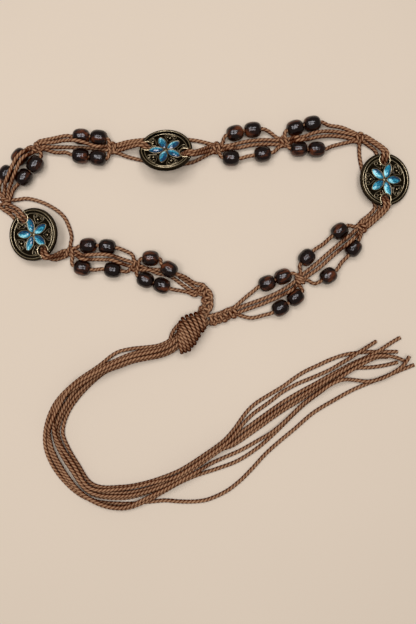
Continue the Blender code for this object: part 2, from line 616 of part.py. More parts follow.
def petal_body(name, angle, collection):
    """One marquise stone in its thin setting, pointed at both ends and raised in the middle."""
    half, side = PETAL_LENGTH / 2, PETAL_WIDTH / 2
    outline = [(-half, 0), (-half * 0.35, side), (half * 0.35, side), (half, 0)]
    outline += [(x, -y) for x, y in reversed(outline[1:-1])]
    form = bmesh.new()
    rings = []
    for height in (FIELD_TOP - 0.4, STONE_TOP - 1.2):
        rings.append([form.verts.new((x * MM, y * MM, height * MM)) for x, y in outline])
    for low, high in zip(rings, rings[1:]):
        for index in range(len(low)):
            after = (index + 1) % len(low)
            form.faces.new((low[index], low[after], high[after], high[index]))
    peak = form.verts.new((0.0, 0.0, STONE_TOP * MM))
    for index, corner in enumerate(rings[-1]):
        form.faces.new((corner, rings[-1][(index + 1) % len(rings[-1])], peak))
    form.faces.new(reversed(rings[0]))
    bmesh.ops.recalc_face_normals(form, faces=form.faces)
    mesh = bpy.data.meshes.new(name)
    form.to_mesh(mesh)
    form.free()
    reach = (PETAL_INNER + half) * MM
    mesh.transform(Matrix.Rotation(math.radians(angle), 4, "Z") @ Matrix.Translation((reach, 0, 0)))
    return add_object(name, mesh, collection)


def hole_cutter(name, side, collection):
    """The round hole inside the rim."""
    form = bmesh.new()
    place = Matrix.Translation((side * HOLE_PLACE * MM, 0, 0))
    radius = HOLE_RADIUS * MM
    bmesh.ops.create_cone(form, cap_ends=True, segments=HOLE_SIDES, radius1=radius, radius2=radius,
                          depth=20 * MM, matrix=place)
    mesh = bpy.data.meshes.new(name)
    form.to_mesh(mesh)
    form.free()
    return add_object(name, mesh, collection)


def bar_cutter(name, side, collection):
    """What is cut from the rim over a hole, down to a low bar that the cords pass over."""
    form = bmesh.new()
    bmesh.ops.create_cube(form, size=1.0)
    size = Vector((6.4, HOLE_RADIUS * 2 - 0.6, 10.0)) * MM
    bmesh.ops.scale(form, vec=size, verts=form.verts)
    middle = Vector((side * 18.4, 0.0, BAR_TOP + 5.0)) * MM
    bmesh.ops.translate(form, vec=middle, verts=form.verts)
    mesh = bpy.data.meshes.new(name)
    form.to_mesh(mesh)
    form.free()
    return add_object(name, mesh, collection)


def make_medallion(medallion, collection, cutters, material):
    name = "medallion_" + medallion.name
    disc = disc_body(name, collection)
    petals = [petal_body(f"{name}_stone_{n}", PETAL_FIRST + 360 / PETAL_COUNT * n, cutters)
              for n in range(PETAL_COUNT)]
    join_solids(disc, petals)
    removed = list(petals)
    for side in (1, -1):
        for cutter in (hole_cutter(f"{name}_hole", side, cutters), bar_cutter(f"{name}_bar", side, cutters)):
            cut_away(disc, cutter)
            removed.append(cutter)
    body = keep_mesh(disc, name, collection, material)
    place = disc_place(medallion)
    place.translation *= MM
    body.data.transform(place)
    for cutter in removed:
        bpy.data.objects.remove(cutter, do_unlink=True)
    return body


def knot_line(knot):
    reach = KNOT_LENGTH / 2
    return [tuple(knot_point(knot, along, 0, 0).xy) for along in (-reach, reach)]


def held_cords(number):
    """The points of the four cords of a run. One that threads nothing rides over the beads it crosses."""
    beads = [bead for bead in BEADS if bead.z < RAISED]
    lines = []
    for lane, row in enumerate(RUNS[number]):
        stops = run_stops(number, lane)
        if isinstance(row, str) or any(item in BEAD for item in row):
            line = smooth_line(stops, HELD_CORD_STEP)
        else:
            line = simplified(lay(smooth_line(stops, HEIGHT_STEP), [], beads, KNOT_REST), SLACK)
        lines.append(pulled_back(line, stops[-1][1]))
    return lines


def pulled_back(line, heading):
    """The line with its end drawn back, so that a slanting end cap keeps its gap to the knot."""
    if heading is None:
        return line
    slant = math.sqrt(max(0.0, 1.0 - (line[-1] - line[-2]).normalized().dot(heading) ** 2))
    return [*line[:-1], line[-1] - heading * CORD_RADIUS * slant]


def make_run(number, collection, cutters, material):
    """A knot with the four cords that leave it, up to the next knot."""
    name = f"knotted_cords_{number:02d}"
    if number == 1:
        body = ridged_body(name, LEFT_SENNIT, KNOT_WIDTH, KNOT_HEIGHT, LEFT_RIDGES, collection)
    else:
        knot = KNOTS[number]
        body = ridged_body(name, knot_line(knot), KNOT_WIDTH, KNOT_HEIGHT, KNOT_RIDGES, collection)
        body.location.z += knot.lift * MM
    body = keep_mesh(body, name, collection)
    cords = []
    for lane, line in enumerate(held_cords(number)):
        cord = tube(f"{name}_lane_{lane}", line, HELD_CORD_ROUNDING, cutters)
        cords.append(keep_mesh(cord, f"{name}_lane_{lane}", cutters))
    join_solids(body, cords)
    whole = keep_mesh(body, name, collection, material)
    for cord in cords:
        bpy.data.objects.remove(cord, do_unlink=True)
    return whole


def make_overhand_knot(collection, material):
    """The big knot of all eight cord ends, flat where it rests."""
    name = "overhand_knot"
    body = ridged_body(name, OVERHAND_ENDS, OVERHAND_WIDTH, OVERHAND_HEIGHT, OVERHAND_RIDGES, collection)
    body.location.z -= OVERHAND_PRESSED * MM
    whole = keep_mesh(body, name, collection, material)
    form = bmesh.new()
    form.from_mesh(whole.data)
    everything = [*form.verts, *form.edges, *form.faces]
    cut = bmesh.ops.bisect_plane(
        form, geom=everything, plane_co=(0, 0, 0), plane_no=(0, 0, -1), clear_outer=True)
    rim = [piece for piece in cut["geom_cut"] if isinstance(piece, bmesh.types.BMEdge)]
    bmesh.ops.contextual_create(form, geom=rim)
    bmesh.ops.recalc_face_normals(form, faces=form.faces)
    form.to_mesh(whole.data)
    form.free()
    return whole


def end_line(number):
    """The fine line of one free cord end: its lane in the bundle, then its own route."""
    spine = [Vector((*point, 0.0)) for point in BUNDLE_LINE]
    stops = []
    for index, place in enumerate(spine):
        ahead, behind = spine[min(index + 1, len(spine) - 1)], spine[max(index - 1, 0)]
        forward = (ahead - behind).normalized()
        left = Vector((-forward.y, forward.x, 0.0))
        stops.append((place + left * LANES[number][index], None))
    stops += [(Vector((*point, 0.0)), None) for point in END_ROUTES[number]]
    return smooth_line(stops, HEIGHT_STEP)


def make_ends(collection, material):
    laid = []
    for number in END_ROUTES:
        line = lay(end_line(number), laid, [])
        laid.append(line)
        name = f"tie_end_{number}"
        thing = tube(name, thinned(line, CORD_STEP), FREE_CORD_ROUNDING, collection)
        keep_mesh(thing, name, collection, material)


def centre_on_origin(collection):
    """Moves the whole so that the belt without its free ends stands centred over the origin."""
    belt = [thing for thing in collection.objects if not thing.name.startswith("tie_end")]
    corners = [vertex.co for thing in belt for vertex in thing.data.vertices]
    low = Vector([min(corner[axis] for corner in corners) for axis in range(3)])
    high = Vector([max(corner[axis] for corner in corners) for axis in range(3)])
    shift = Vector((-(low.x + high.x) / 2, -(low.y + high.y) / 2, -low.z))
    for thing in collection.objects:
        thing.data.transform(Matrix.Translation(shift))


def main():
    clear_scene()
    belt = bpy.data.collections.new("cord_waist_belt")
    cutters = bpy.data.collections.new("cutters")
    bpy.context.scene.collection.children.link(belt)
    bpy.context.scene.collection.children.link(cutters)
    cord = finish("waxed_cord", (0.22, 0.11, 0.06), 0.6, 0.0)
    wood = finish("dark_wood", (0.035, 0.012, 0.008), 0.25, 0.0)
    bronze = finish("antique_bronze", (0.16, 0.13, 0.08), 0.35, 1.0)
    for bead in BEADS:
        make_bead(bead, belt, wood)
    for medallion in MEDALLIONS:
        make_medallion(medallion, belt, cutters, bronze)
    for number in RUNS:
        make_run(number, belt, cutters, cord)
    sennit = ridged_body("right_sennit", RIGHT_SENNIT, KNOT_WIDTH, KNOT_HEIGHT, RIGHT_RIDGES, belt)
    keep_mesh(sennit, "right_sennit", belt, cord)
    make_overhand_knot(belt, cord)
    make_ends(belt, cord)
    centre_on_origin(belt)


main()
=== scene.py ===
"""Dresses the cord waist belt: twisted cords tied in square knots, wooden beads, three pierced
medallions with blue stones, the big knot and its eight free ends. Tables are in millimetres and
degrees, x to the right and y up the table, as the belt lies."""

import math
from collections import namedtuple

import bmesh
import bpy
from mathutils import Matrix, Vector


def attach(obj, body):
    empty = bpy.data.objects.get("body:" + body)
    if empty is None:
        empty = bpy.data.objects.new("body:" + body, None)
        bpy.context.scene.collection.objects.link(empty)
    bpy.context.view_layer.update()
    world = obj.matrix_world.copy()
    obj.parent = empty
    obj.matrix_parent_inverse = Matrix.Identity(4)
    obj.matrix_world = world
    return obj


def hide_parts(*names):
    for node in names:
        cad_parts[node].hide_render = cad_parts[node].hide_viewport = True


bl_info = {
    "name": "Cord waist belt",
    "version": (1, 0, 0),
    "blender": (4, 5, 0),
    "location": "3D View > Sidebar > Belt",
    "description": "Makes the cords, knots, beads and medallions of a waist belt",
    "category": "Object",
}

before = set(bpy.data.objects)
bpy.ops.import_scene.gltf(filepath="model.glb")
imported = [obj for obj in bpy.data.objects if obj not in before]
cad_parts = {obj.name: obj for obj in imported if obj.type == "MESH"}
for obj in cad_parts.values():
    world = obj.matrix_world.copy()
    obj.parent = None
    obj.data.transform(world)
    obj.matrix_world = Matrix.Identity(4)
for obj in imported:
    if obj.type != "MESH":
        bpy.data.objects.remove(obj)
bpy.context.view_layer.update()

MM = 0.001
# From the table's middle to the belt's own frame.
SHIFT = Vector((3.3678, -60.5702, 0.0))

CORD_DIAMETER = 3.0
# The middles of two cords that cross lie at least this far apart.
CORD_PITCH = 3.35
CORD_RADIUS = CORD_DIAMETER / 2
PLIES = 3
PLY_POINTS = 18
# A ply's share of the cord's radius: in the valleys between the plies, and what its back adds.
VALLEY = 0.78
PLY_RISE = 0.24
# Steps along a cord: its section's in metres, then a free end's and a tied cord's in millimetres.
CURVE_STEPS = 4
CORD_STEP = 0.0008
HEIGHT_STEP = 2.2
FINE_STEP = 1.4
# Beads whose middles stand higher than this rest on the cords, and the others have cords over them.
RAISED = 8.0

# A barrel bead: its belly, its length, its flat face, the share of its half length that the belly takes,
# what a cord's middle keeps from it and how far past its face the bore's line runs.
BEAD_DIAMETER = 12.0
BEAD_LENGTH = 12.4
BEAD_FACE = 8.2
BEAD_BELLY = 0.42
BEAD_ROOM = CORD_RADIUS + 0.15
BORE_END = 0.7
SIDE_STEPS = 9
SIDE_CURVE = 2.5
# From one bead to the next the grain is rolled round the bore by this angle.
GRAIN_ROLL = 137.5
# A cord isn't lifted this near to a knot, and two stops closer than the second become one.
KNOT_REST = 4.0
CLOSE_STOPS = 2.5

# A medallion: its two notch holes, the collars round them and its five stones.
HOLE_PLACE = 14.9
NOTCH_RADIUS = 3.8
COLLAR_RADIUS = 4.35
COLLAR_HEIGHT = 2.3
COLLAR_FOOT = ((4.4, 4.1), (3.3, 3.9))
COLLAR_ARC = (56, 304)
COLLAR_WIRE = 0.55
STONE_COUNT = 5
STONE_FIRST = -19.0
GAP_FIRST = STONE_FIRST + 180 / STONE_COUNT
STONE_PLACE = 7.2
# Gaps of the pierced plate between two stones: outwards, aside and radius.
PIERCED = ((9.9, 0.0, 0.95), (13.5, 2.8, 0.75), (13.5, -2.8, 0.75), (14.2, 0.0, 0.6))
CUT_DEPTH = 20.0
# What is cut from the rim over each notch: its middle, its height and its sizes.
BAR_PLACE = (18.4, 5.9)
BAR_SIZE = (6.4, 7.6, 10.0)
# Turned profiles: radius and height.
PLATE_PROFILE = ((0.0, 0.2), (18.4, 0.2), (18.4, 1.3), (0.0, 1.3))
RIM_PROFILE = (
    (18.0, 0.1), (19.5, 0.0), (20.0, 0.5), (20.0, 2.1), (19.6, 2.7), (18.8, 2.9), (18.2, 2.7),
    (18.0, 2.2),
)
RIM_CREST = 2.5
BOSS_PROFILE = ((0.0, 1.2), (1.5, 1.2), (1.3, 1.7), (0.8, 2.0), (0.0, 2.1))
# Raised rings: radius, height and the angle beside the notches at which each half starts.
RINGS = ((16.1, 1.7, 17), (18.3, 2.7, 14))
RING_WIRE = 0.36
# Balls between the stones: their place, radius and height.
BALL_PLACE = 11.9
BALL_RADIUS = 0.8
BALL_HEIGHT = 1.7
BALL_STEPS = 8
# Wires round a stone: half its length, half its width, height, radius of the wire and how worn it is.
STONE_WIRES = {"setting": (5.75, 3.05, 1.9, 0.34, 0.7), "wall": (5.65, 2.95, 1.3, 0.5, 0.3)}
WIRE_POINTS = 28
# Rings of facets up a stone: half its length, half its width and height. Then its tip.
STONE_RINGS = ((5.4, 2.75, 1.5), (5.4, 2.75, 2.1), (4.2, 2.0, 2.9), (2.4, 1.0, 3.4))
STONE_TIP = (0.3, 0.1, 3.5)
STONE_POINTS = 12
# How far a stone's outline draws in towards its two points.
STONE_TAPER = 0.3
SCROLL_HEIGHT = 1.5
SCROLL_STEP = 0.35
SCROLL_WIRE = 0.32
SHARP_ANGLE = 35
# The wire of one scroll and of the small arch between two: outwards and aside.
SCROLL = (
    (8.4, 0.6), (10.0, 1.9), (12.0, 3.7), (13.8, 4.4), (15.0, 3.6), (14.7, 2.2), (13.4, 1.7),
    (12.6, 2.5), (13.2, 3.3),
)
ARCH = ((15.8, 2.6), (15.0, 1.0), (14.6, 0.0), (15.0, -1.0), (15.8, -2.6))
# How worn each part of the metal is: dark at 0 and bright at 1.
WORN = {
    "plate": 0.04, "rim": 0.14, "crest": 0.28, "rings": 0.84, "collars": 0.98, "scrolls": 0.72,
    "ball": 1.0, "boss": 0.7,
}

# Where cords pass straight through the big knot: aside and up.
KNOT_CORE = (
    (-4.5, 6.0), (-1.5, 4.8), (1.5, 4.8), (4.5, 6.0), (-4.0, 9.4), (-0.5, 8.2), (2.5, 8.6),
    (0.5, 12.0),
)
# How far they start before it, and how they spread in its middle and draw in at its end.
CORE_LEAD = 1.5
CORE_SPREAD = 1.2
CORE_END = 0.8
# The strand that stands away from the big knot.
LOOSE_BIGHT = (
    (-15.0, -7.0, 13.0), (-20.5, -8.6, 11.0), (-25.0, -12.6, 7.5), (-28.0, -18.0, 5.0),
    (-28.2, -22.5, 3.6), (-25.0, -25.8, 3.2), (-20.0, -25.5, 5.0),
)

# The stage, in metres: the floor, the room's light and a window of four panes over the belt.
FLOOR_REACH = 3.0
ROOM_COLOUR = (1.0, 0.93, 0.86, 1.0)
ROOM_LIGHT = 0.22
PANE_SIZE = (0.40, 0.42)
PANE_BAR = 0.10
PANE_POWER = 4.2
PANE_COLOUR = (0.97, 0.95, 1.0)
WINDOW_PLACE = Vector((-0.12, 0.18, 1.25))
CLIP_START = 0.01
BLACK = (0.0, 0.0, 0.0)

# Sides of the turned and round forms.
SEGMENTS = {
    "bead": 32, "plate": 72, "rim": 96, "ball": 16, "boss": 20, "notches": 40, "pierced": 16,
}

Bead = namedtuple("Bead", "name x y z bore")
BEADS = [Bead(*row) for row in (
    ("1_outer_a", -35.2, 20.2, 6.0, 158), ("1_outer_b", -47.6, 24.4, 6.0, 156),
    ("1_inner_a", -29.4, 32.3, 9.5, 148), ("1_inner_b", -43.6, 40.8, 6.0, 180),
    ("2_outer_a", -72.5, 32.0, 6.0, 174), ("2_outer_b", -95.5, 33.5, 6.0, 168),
    ("2_inner_a", -76.5, 49.5, 6.0, 174), ("2_inner_b", -91.0, 50.4, 6.0, 182),
    ("3_outer_a", -153.3, 105.0, 6.0, 55), ("3_outer_b", -143.0, 118.0, 6.0, 50),
    ("3_inner_a", -140.0, 102.4, 6.0, 50), ("3_inner_b", -131.2, 112.0, 7.0, 52),
    ("4_outer_a", -96.4, 133.4, 6.0, 0), ("4_outer_b", -83.0, 132.5, 6.0, -6),
    ("4_inner_a", -96.8, 118.6, 6.0, -6), ("4_inner_b", -83.7, 117.2, 6.0, -6),
    ("5_outer_a", 20.5, 136.0, 6.0, 14), ("5_outer_b", 34.0, 138.5, 6.0, 6),
    ("5_inner_a", 17.5, 117.0, 6.0, -2), ("5_inner_b", 41.5, 120.0, 6.0, 8),
    ("6_outer_a", 66.2, 139.9, 6.0, 16), ("6_outer_b", 79.2, 143.1, 6.0, 11),
    ("6_inner_a", 69.0, 124.0, 6.0, 0), ("6_inner_b", 82.5, 123.5, 6.0, 2),
    ("7_outer_a", 110.5, 48.5, 6.0, 235), ("7_outer_b", 91.5, 27.5, 6.0, 214),
    ("7_inner_a", 100.0, 61.5, 6.0, 214), ("7_inner_b", 75.0, 41.5, 6.0, 225),
    ("8_outer_a", 66.5, 11.0, 6.0, 218), ("8_outer_b", 55.0, 3.0, 6.0, 211),
    ("8_inner_a", 57.0, 26.9, 6.0, 202), ("8_inner_b", 44.8, 21.8, 6.0, 202),
)]
BEAD = {bead.name: bead for bead in BEADS}

Knot = namedtuple("Knot", "x y heading lift", defaults=(0.0,))
KNOTS = {number: Knot(*row) for number, row in {
    2: (-55.0, 35.0, 158), 3: (-105.2, 45.3, 178), 4: (-155.0, 84.0, 80), 5: (-130.5, 124.5, 32, 3.2),
    6: (-73.0, 125.0, 358), 7: (6.5, 125.0, 0), 8: (58.0, 130.0, 8), 9: (115.5, 132.5, 345),
    10: (117.0, 64.5, 225), 11: (70.0, 24.5, 222),
}.items()}
LEFT_SENNIT = ((-5.2, -2.2), (-1.4, 3.5), (-0.5, 10.0), (-2.5, 15.0), (-7.0, 18.5))
RIGHT_SENNIT = ((22.5, 1.0), (15.5, -1.5), (9.5, -4.2), (0.6, -6.5))

Medallion = namedtuple("Medallion", "name x y z tilt raised notch")
MEDALLIONS = [Medallion(*row) for row in (
    ("left", -131.5, 58.5, 8.4, 16, 0, 124.5),
    ("top", -31.7, 121.1, 10.5, 30, 270, -13),
    ("right", 134.1, 100.6, 4.6, 12, 180, 91.5),
)]
MEDALLION = {medallion.name: medallion for medallion in MEDALLIONS}

# Along the notch line of a medallion: distance from its centre and height over its back.
NOTCH_STEPS = ((21.5, 3.1), (17.3, 3.2), (12.7, -1.7), (9.0, -2.3))
NOTCH_LANE = 1.65

# One row for each run of four cords between two knots, outer side first. A text names a bead or a
# medallion lane that the cord passes through, and a triple is a point on the way.
RUNS = {
    1: (
        ((-9.0, 12.2, 3.0), (-15.0, 15.0, 3.0), (-22.5, 16.5, 3.5), "1_outer_a", "1_outer_b"),
        ((-9.5, 15.0, 2.0), (-15.5, 18.0, 1.5), (-20.5, 21.5, 1.5), (-26.0, 25.5, 1.5),
         (-32.0, 28.4, 1.5), (-38.5, 29.4, 2.0), (-45.0, 32.2, 4.6)),
        ((-8.5, 17.6, 2.0), (-14.0, 21.5, 1.5), (-19.5, 25.5, 1.5), (-25.0, 29.5, 1.5),
         (-31.0, 32.0, 1.5), (-38.0, 32.4, 1.5), (-45.0, 33.0, 1.5)),
        ((-10.0, 22.0, 3.5), (-18.5, 27.2, 7.5), "1_inner_a", "1_inner_b"),
    ),
    2: (
        ((-61.5, 30.5, 4.0), "2_outer_a", (-84.5, 32.3, 4.0), "2_outer_b"),
        ((-60.0, 35.0, 3.0), (-65.0, 36.5, 3.5), (-71.5, 39.0, 6.0), (-78.5, 39.8, 6.0),
         (-88.0, 40.0, 5.0), (-95.5, 40.0, 2.5)),
        ((-59.5, 38.5, 3.0), (-64.5, 40.0, 3.5), (-72.0, 42.5, 6.0), (-80.0, 43.5, 6.0),
         (-89.0, 43.3, 5.0), (-95.5, 43.2, 2.5)),
        ((-57.5, 43.5, 3.0), (-62.5, 46.3, 4.0), "2_inner_a", "2_inner_b"),
    ),
    3: (
        ((-111.0, 41.0, 2.0), (-118.0, 40.0, 1.5), (-126.0, 43.5, 1.5), (-136.5, 52.5, 1.5),
         (-142.8, 62.6, 1.5), (-146.8, 69.7, 1.5), (-151.7, 75.0, 1.5)),
        "left lane -1",
        "left lane 1",
        ((-105.5, 51.0, 2.0), (-104.5, 57.0, 1.5), (-106.5, 65.0, 1.5), (-110.5, 73.0, 1.5),
         (-117.8, 79.2, 1.5), (-128.4, 84.5, 1.5), (-139.3, 87.0, 1.5), (-147.4, 85.8, 2.0)),
    ),
    4: (
        ((-159.5, 92.0, 4.0), "3_outer_a", "3_outer_b"),
        ((-154.5, 93.5, 6.0), (-150.5, 101.5, 9.0), (-147.0, 109.5, 9.0), (-143.0, 116.2, 9.0)),
        ((-151.5, 93.5, 6.0), (-147.2, 101.0, 9.0), (-143.8, 108.2, 9.0), (-140.4, 114.4, 9.0)),
        ((-148.5, 93.5, 4.0), "3_inner_a", "3_inner_b"),
    ),
    5: (
        ((-118.0, 132.5, 4.0), (-107.5, 134.0, 6.0), "4_outer_a", "4_outer_b"),
        ((-117.0, 129.0, 6.0), (-108.5, 129.7, 9.0), (-99.5, 129.0, 10.0), (-90.5, 127.0, 8.0),
         (-83.0, 125.0, 4.4)),
        ((-117.0, 125.9, 3.5), (-108.5, 126.4, 1.5), (-99.5, 126.0, 1.5), (-91.0, 125.6, 1.5),
         (-83.0, 124.8, 1.5)),
        ((-117.0, 122.0, 3.0), (-107.5, 121.5, 5.0), "4_inner_a", "4_inner_b"),
    ),
    6: (
        ((-63.5, 130.0, 2.0), (-55.0, 131.5, 1.5), (-44.5, 132.2, 1.5), (-29.0, 132.2, 1.5),
         (-15.0, 132.0, 1.5), (-7.5, 131.0, 2.0)),
        "top lane 1",
        "top lane -1",
        ((-62.0, 119.0, 2.0), (-51.5, 116.5, 1.5), (-40.5, 114.0, 1.5), (-25.5, 113.0, 1.5),
         (-13.0, 114.5, 1.5), (-6.0, 117.5, 2.0)),
    ),
    7: (
        ("5_outer_a", "5_outer_b", (46.0, 138.0, 4.0)),
        ((17.5, 127.5, 3.5), (25.5, 129.5, 3.5), (34.5, 131.0, 3.5), (44.5, 131.5, 3.5)),
        ((18.5, 124.2, 3.5), (27.0, 126.2, 3.5), (36.0, 127.7, 4.0), (45.5, 128.2, 3.5)),
        ("5_inner_a", (29.5, 118.5, 5.0), "5_inner_b"),
    ),
    8: (
        ("6_outer_a", "6_outer_b", (91.5, 142.5, 4.0), (102.0, 141.0, 3.5)),
        ((71.5, 133.0, 6.0), (81.5, 136.0, 8.0), (91.5, 137.7, 5.0), (102.0, 137.2, 3.5)),
        ((71.5, 129.7, 6.0), (81.5, 132.7, 6.0), (91.5, 134.4, 4.0), (102.0, 133.9, 3.5)),
        ("6_inner_a", "6_inner_b", (93.0, 126.0, 4.0), (102.0, 128.5, 3.5)),
    ),
    9: (
        "right lane -1",
        "right lane 1",
        ((122.8, 127.6, 2.0), (128.4, 123.4, 1.5), (130.0, 116.5, 1.5), (129.1, 106.0, 1.5),
         (129.0, 95.0, 1.5), (130.0, 86.0, 1.5), (131.6, 79.5, 1.5), (126.8, 73.0, 2.0)),
        ((115.8, 124.0, 2.0), (116.5, 117.0, 1.5), (118.5, 107.5, 1.5), (120.5, 97.5, 1.5),
         (124.5, 88.5, 1.5), (128.4, 81.0, 1.5), (124.6, 75.4, 1.5)),
    ),
    10: (
        ((117.3, 57.8, 3.5), "7_outer_a", (101.5, 37.5, 5.0), "7_outer_b", (81.0, 21.5, 4.0)),
        ((104.5, 50.8, 3.5), (94.5, 42.3, 3.5), (84.5, 33.3, 3.5)),
        ((101.8, 53.3, 3.5), (91.7, 44.8, 3.5), (81.5, 35.8, 3.5)),
        ((107.5, 66.2, 4.0), "7_inner_a", (88.0, 51.8, 4.5), "7_inner_b"),
    ),
    11: (
        ("8_outer_a", "8_outer_b", (43.0, -2.3, 4.0), (33.0, -4.6, 3.5)),
        ((61.5, 15.6, 3.5), (52.5, 10.8, 3.5), (41.0, 6.0, 3.5), (31.5, 2.6, 3.5)),
        ((59.5, 18.3, 3.5), (50.8, 13.6, 3.5), (39.8, 9.2, 3.5), (30.5, 5.9, 3.5)),
        ("8_inner_a", "8_inner_b", (36.0, 17.0, 4.0), (28.5, 11.0, 3.5)),
    ),
}

# The sections of the belt: each run with the knot that it leaves, and last the right sennit. Each has
# four cords side by side.
SECTIONS = (*RUNS, len(RUNS) + 1)
LANE_NUMBERS = range(4)

# The eight cord ends leave the overhand knot as one bundle along this line, then fan out.
BUNDLE_LINE = (
    (-23.2, -22.6), (-28.5, -27.0), (-37.0, -30.5), (-46.0, -32.5), (-57.0, -35.0), (-67.5, -38.5),
    (-81.5, -45.0), (-98.0, -58.5), (-111.0, -73.5), (-117.0, -90.5), (-116.0, -104.5), (-106.0, -122.0),
    (-89.5, -135.5), (-66.5, -141.0), (-44.5, -137.5),
)
# Where each end lies across the bundle at each of its stations, positive towards the inner side.
LANES = {
    8: (-4.95, -4.95, -4.95, -5.6, -7.0, -7.7, -4.2, -5.9, -7.0, -7.6, -8.2, -8.3, -8.2, -6.0, -8.0),
    1: (1.65, 1.65, 1.65, 1.5, 1.4, 1.5, 2.4, 3.4, 4.9, 5.6, 8.0, 8.1, 3.4, 6.9, 7.2),
    5: (-1.65, -1.65, -1.65, -1.8, -1.9, -1.8, -0.9, 0.1, -0.6, -1.2, 1.2, 1.5, -3.3, -1.9, -0.4),
    3: (3.3, 3.3, 3.3, 3.1, 2.8, 3.0, 2.2, 1.8, 2.6, 2.3, 4.8, 4.9, 0.2, 2.4, 2.8),
    7: (-3.3, -3.3, -3.3, -3.5, -3.4, -2.7, -2.5, -3.1, -3.9, -4.5, -5.0, -5.1, -7.0, -9.2, -5.2),
    4: (0.0, 0.0, 0.0, -0.1, -0.3, -0.1, 0.7, -1.2, 1.0, 0.6, 2.4, 3.2, -1.5, 0.4, 1.4),
    2: (1.65, 1.65, 1.65, 1.5, 1.2, 1.4, 0.8, -2.2, -5.2, 0.8, 5.4, 6.6, 1.8, 6.2, 6.6),
    6: (-1.65, -1.65, -1.65, -1.7, -1.7, -1.4, -1.0, -4.4, -2.2, -3.0, -2.4, -2.5, -5.2, -7.5, -2.4),
}
# Laid down in this order, so that a later end lies over an earlier one.
END_ROUTES = {
    8: ((-33.0, -144.5), (-24.0, -145.2), (-14.5, -145.5), (-6.0, -145.0), (1.0, -143.5), (14.0, -137.5),
        (24.5, -129.5), (33.5, -120.5), (44.0, -109.0), (54.5, -99.5), (66.0, -90.0), (80.5, -77.5),
        (96.0, -68.0), (111.5, -59.5), (124.5, -54.0), (137.5, -48.8), (147.5, -44.7), (158.0, -40.5)),
    1: ((-24.0, -122.6), (-13.0, -116.3), (-2.0, -109.0), (10.0, -100.5), (15.6, -95.2), (21.2, -88.4),
        (26.2, -81.2), (31.6, -74.5), (37.7, -69.3), (46.5, -63.8), (58.0, -56.8), (65.3, -51.4),
        (74.2, -45.7), (84.7, -40.8), (93.5, -36.7), (105.0, -32.8), (114.5, -31.3), (124.5, -30.5),
        (135.0, -30.5), (145.5, -30.5)),
    5: ((-27.0, -130.8), (-14.5, -122.5), (-2.0, -114.1), (10.0, -105.6), (17.8, -103.0), (24.6, -98.9),
        (32.3, -93.5), (41.6, -86.9), (49.3, -81.3), (57.8, -75.5), (70.6, -67.6), (85.5, -57.8),
        (98.5, -48.9), (111.5, -43.5), (124.5, -42.5), (135.0, -41.0), (145.5, -38.5)),
    3: ((-25.5, -126.8), (-13.5, -119.4), (-2.0, -111.6), (10.0, -103.2), (17.0, -98.6), (24.6, -92.6),
        (32.3, -87.0), (41.6, -80.3), (49.3, -74.7), (57.8, -68.9), (70.6, -61.2), (82.9, -54.6),
        (93.5, -48.3), (109.0, -40.2), (119.0, -35.5), (128.5, -30.5), (138.0, -25.0), (147.5, -19.5)),
    7: ((-29.0, -134.5), (-20.0, -129.5), (-8.0, -125.0), (7.5, -120.0), (23.0, -114.0), (39.0, -103.5),
        (52.0, -92.0), (62.0, -82.0), (72.5, -72.0), (85.5, -61.5), (98.5, -51.5), (110.5, -43.7),
        (121.0, -38.0), (129.0, -34.8), (138.0, -34.5)),
    4: ((-26.5, -128.8), (-14.0, -121.0), (-2.0, -112.9), (10.0, -104.5), (17.4, -100.9), (24.6, -95.8),
        (32.3, -90.3), (41.6, -83.6), (49.3, -78.0), (57.8, -72.2), (70.6, -64.4), (85.5, -55.3),
        (101.0, -45.3), (115.5, -37.5), (128.5, -33.2), (141.5, -34.2), (150.5, -37.5)),
    2: ((-24.5, -124.6), (-13.0, -117.8), (-2.0, -110.3), (10.0, -101.9), (16.2, -97.3), (22.3, -91.0),
        (27.7, -84.5), (35.2, -77.6), (43.1, -72.0), (49.3, -67.4), (56.2, -62.0), (62.4, -58.3),
        (68.5, -55.1), (75.8, -52.1), (84.7, -48.4), (95.2, -43.5), (106.0, -36.8), (115.0, -30.7),
        (129.0, -22.5)),
    6: ((-27.5, -131.4), (-17.0, -125.4), (-8.0, -120.6), (-0.8, -117.4), (11.4, -112.0), (25.5, -105.8),
        (37.8, -98.8), (48.4, -92.0), (56.5, -85.4), (63.5, -78.8), (72.5, -70.0), (85.5, -60.2),
        (94.5, -54.2), (103.0, -51.3), (113.0, -52.2), (122.5, -53.0), (132.0, -50.8), (139.5, -47.3),
        (146.5, -42.5), (150.5, -38.0), (153.0, -33.5)),
}

# A square knot, seen from above with its heading to the right: along, to the left and up from the
# middle of its foot. The left cord ties over the two core cords, and the right cord under them.
LEFT_TIE = (
    (-4.6, 3.4, 3.0), (-3.1, 3.2, 3.0), (-2.1, 1.6, 5.2), (-1.7, -0.4, 6.1), (-1.5, -2.4, 5.0),
    (-0.8, -3.6, 3.4), (0.8, -3.6, 3.4), (1.5, -2.4, 5.0), (1.7, -0.4, 6.1), (2.1, 1.6, 5.2),
    (3.1, 3.2, 3.0), (4.6, 3.4, 3.0),
)
RIGHT_TIE = (
    (-4.6, -3.4, 3.0), (-3.3, -3.5, 4.4), (-2.1, -3.5, 5.7), (-0.9, -2.4, 4.0), (-0.9, 0.0, 1.5),
    (-1.0, 2.4, 2.6), (-1.4, 3.5, 4.9), (0.0, 4.0, 5.5), (1.4, 3.5, 4.9), (1.0, 2.4, 2.6),
    (0.9, 0.0, 1.5), (0.9, -2.4, 4.0), (2.1, -3.5, 5.7), (3.3, -3.5, 4.4), (4.6, -3.4, 3.0),
)
LEFT_CORE = ((-4.6, 1.6, 3.6), (0.0, 1.4, 3.8), (4.6, 1.6, 3.6))
